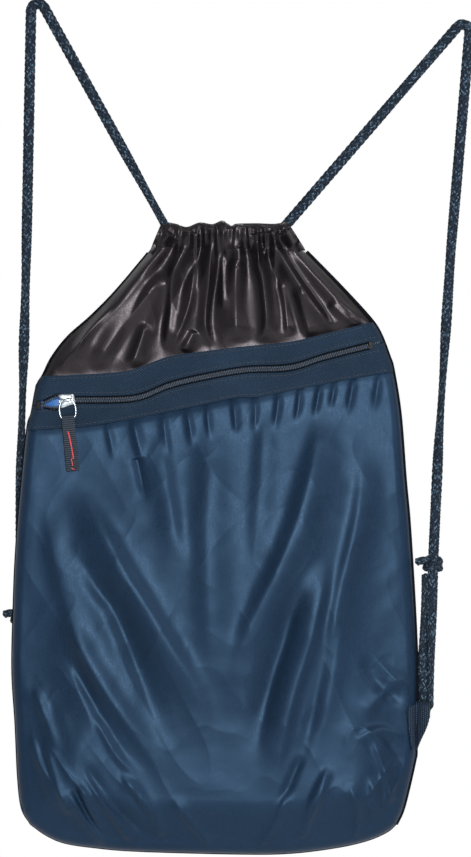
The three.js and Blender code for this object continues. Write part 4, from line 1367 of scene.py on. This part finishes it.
def make_bartack():
    """Zigzag of red thread down the ribbon, with a loose tail under it."""
    zigzag = []
    for k in range(47):
        sway = 0.3 if k % 2 else -0.3
        dip = 0.1 if k % 4 < 2 else 0
        zigzag.append((-1.2 + 2.6 * (k / 46) ** 0.6 + sway, -1.62 - dip, -11 - 21 * k / 46))
    zigzag += [(0.18 * k - 0.4, -1.62, -32.5 - 1.2 * k + (0.8 if k % 2 else 0)) for k in range(6)]
    line_of_thread = on_ribbon(smooth_line(zigzag, 420))
    piece = tube("red_bartack", line_of_thread, 0.00030, RED_THREAD, 8)
    settle(piece, "ribbon", ["pull_bartack"])
    tail = [(-0.9, -1.5, -39.6), (-0.1, -1.75, -40.1), (0.9, -1.6, -40.4), (1.6, -1.9, -41.0)]
    piece = tube("red_tail", on_ribbon(smooth_line(tail, 20)), 0.00032, RED_THREAD, 8)
    settle(piece, "ribbon")


def wire_ring(name, path, radius, material, sides=14):
    """A closed loop of round wire."""
    n = len(path)
    tangent = np.roll(path, -1, 0) - np.roll(path, 1, 0)
    tangent /= np.linalg.norm(tangent, axis=1)[:, None]
    out = np.tile((0.0, -1.0, 0.0), (n, 1))
    across = np.cross(tangent, out)
    angle = np.linspace(0, 2 * math.pi, sides, endpoint=False)
    ring = across[:, None] * np.cos(angle)[None, :, None] + out[:, None] * np.sin(angle)[None, :, None]
    points = (path[:, None] + ring * radius).reshape(-1, 3)
    faces = []
    for k in range(n):
        k2 = (k + 1) % n
        for j in range(sides):
            j2 = (j + 1) % sides
            faces.append((k * sides + j, k * sides + j2, k2 * sides + j2, k2 * sides + j))
    return mesh_piece(name, points, faces, material)


make_stirrup()
make_ribbon()
make_bartack()


# ---------- side tabs of folded webbing ----------
def strap_run(rows, columns):
    """Along a strap that goes up, over its fold and down again: across, along, how high, turn."""
    v, u = np.linspace(0, 1, rows)[:, None], np.linspace(0, 1, columns)[None]
    up = np.where(v < 0.44, v / 0.44, np.where(v > 0.56, (1 - v) / 0.44, 1))
    return u, v, up, np.clip((v - 0.44) / 0.12, 0, 1) * math.pi


def strap_nubs(x, run):
    """The yarn ends that stand out of the webbing."""
    return 0.16 * np.sin(2 * math.pi * (x + run) / 1.7) * np.sin(2 * math.pi * (x - run) / 1.7)


def strap(name, node, x, y, z, rows, columns):
    flat = np.stack(np.broadcast_arrays(x, y, z), -1).reshape(-1, 3) * MM
    piece = mesh_piece(name, flat, grid_faces(rows, columns), WEBBING)
    thickened(piece, 0.0012, 0.0)
    settle(piece, nodes=[node])


def webbing_tab(name, node, low_edge, high_edge, back, foot, top):
    """A strap folded over the cord's bend, its ends stitched into the side seam (mm).
    Each edge gives the x of the strap's two sides."""
    rows, columns = 200, 44
    u, v, up, angle = strap_run(rows, columns)
    left = low_edge[0] + (high_edge[0] - low_edge[0]) * np.sin(up * math.pi / 2)
    right = low_edge[1] + (high_edge[1] - low_edge[1]) * np.sin(up * math.pi / 2) ** 1.3
    x = left + (right - left) * u
    slope = -0.30 * (x - high_edge[1]) * up**2 - 3.5 * up * (1 - up)
    z = foot + (top - foot) * up - np.abs(x - (left + right) / 2) * 0.12 * up + np.sin(angle) * 4.2
    z = z - slope * 0.35
    run = v * 2.1 * (top - foot)
    nub = strap_nubs(x, run)
    edge = 0.4 * np.exp(-((np.minimum(u, 1 - u) * (right - left) / 0.8) ** 2))
    cloth = pocket_depth(x * MM, z * MM) / MM
    near = np.maximum(4.4 * np.sin(np.clip(up, 0, 1) * 1.3) + 1.2, cloth + 1.1)
    far = back + 2.2 + 2.4 * up
    y = np.where(v < 0.5, -near, far)
    turn = (1 - np.cos(angle)) / 2
    y = np.where((v >= 0.44) & (v <= 0.56), -near * (1 - turn) + far * turn, y)
    y = y + np.where(v < 0.5, -1, 1) * (nub + edge)
    strap(name, node, x, y, z, rows, columns)


webbing_tab("webbing_tab_right", "tab_right", (125.5, 129.6), (122.0, 139.6), 0.0, -573, -539.5)


def rear_tab():
    """The left tab turns round behind the bag, where its cord hangs."""
    rows, columns = 180, 30
    u, v, up, angle = strap_run(rows, columns)
    x = -182.0 + 11.0 * u + 0.8 * (1 - up)
    z = -573 + 33 * up + 4.0 * np.sin(angle)
    turn = (1 - np.cos(angle)) / 2
    inner, outer = 1.0 + 9.2 * ease(up, 0, 0.8), 2.6 + 17.0 * ease(up, 0, 0.8)
    y = np.where(v < 0.44, inner, np.where(v > 0.56, outer, inner * (1 - turn) + outer * turn))
    y = y + np.where(v < 0.5, -1, 1) * strap_nubs(x, v * 42 * 1.7)
    strap("webbing_tab_left", "tab_left", x, y, z, rows, columns)


rear_tab()


# ---------- floor ----------
def make_floor():
    side = 1.2
    points = [(x * side, y * side, -0.9) for x, y in ((-1, -1), (1, -1), (1, 1), (-1, 1))]
    floor = mesh_piece("floor", points, [(0, 1, 2, 3)], floor_finish(), smooth=False)


make_floor()


# ---------- sizes of the imported frame and of the shown pieces ---
def all_corners(pieces):
    graph = bpy.context.evaluated_depsgraph_get()
    low, high = np.full(3, 9.0), np.full(3, -9.0)
    for piece in pieces:
        shown = piece.evaluated_get(graph)
        data = shown.to_mesh()
        co = np.empty(len(data.vertices) * 3)
        data.vertices.foreach_get("co", co)
        co = co.reshape(-1, 3)
        low, high = np.minimum(low, co.min(0)), np.maximum(high, co.max(0))
        shown.to_mesh_clear()
    return [low.tolist(), high.tolist()]


{"cad": [list(c) for c in cad_box], "visual": all_corners(SHOWN)}
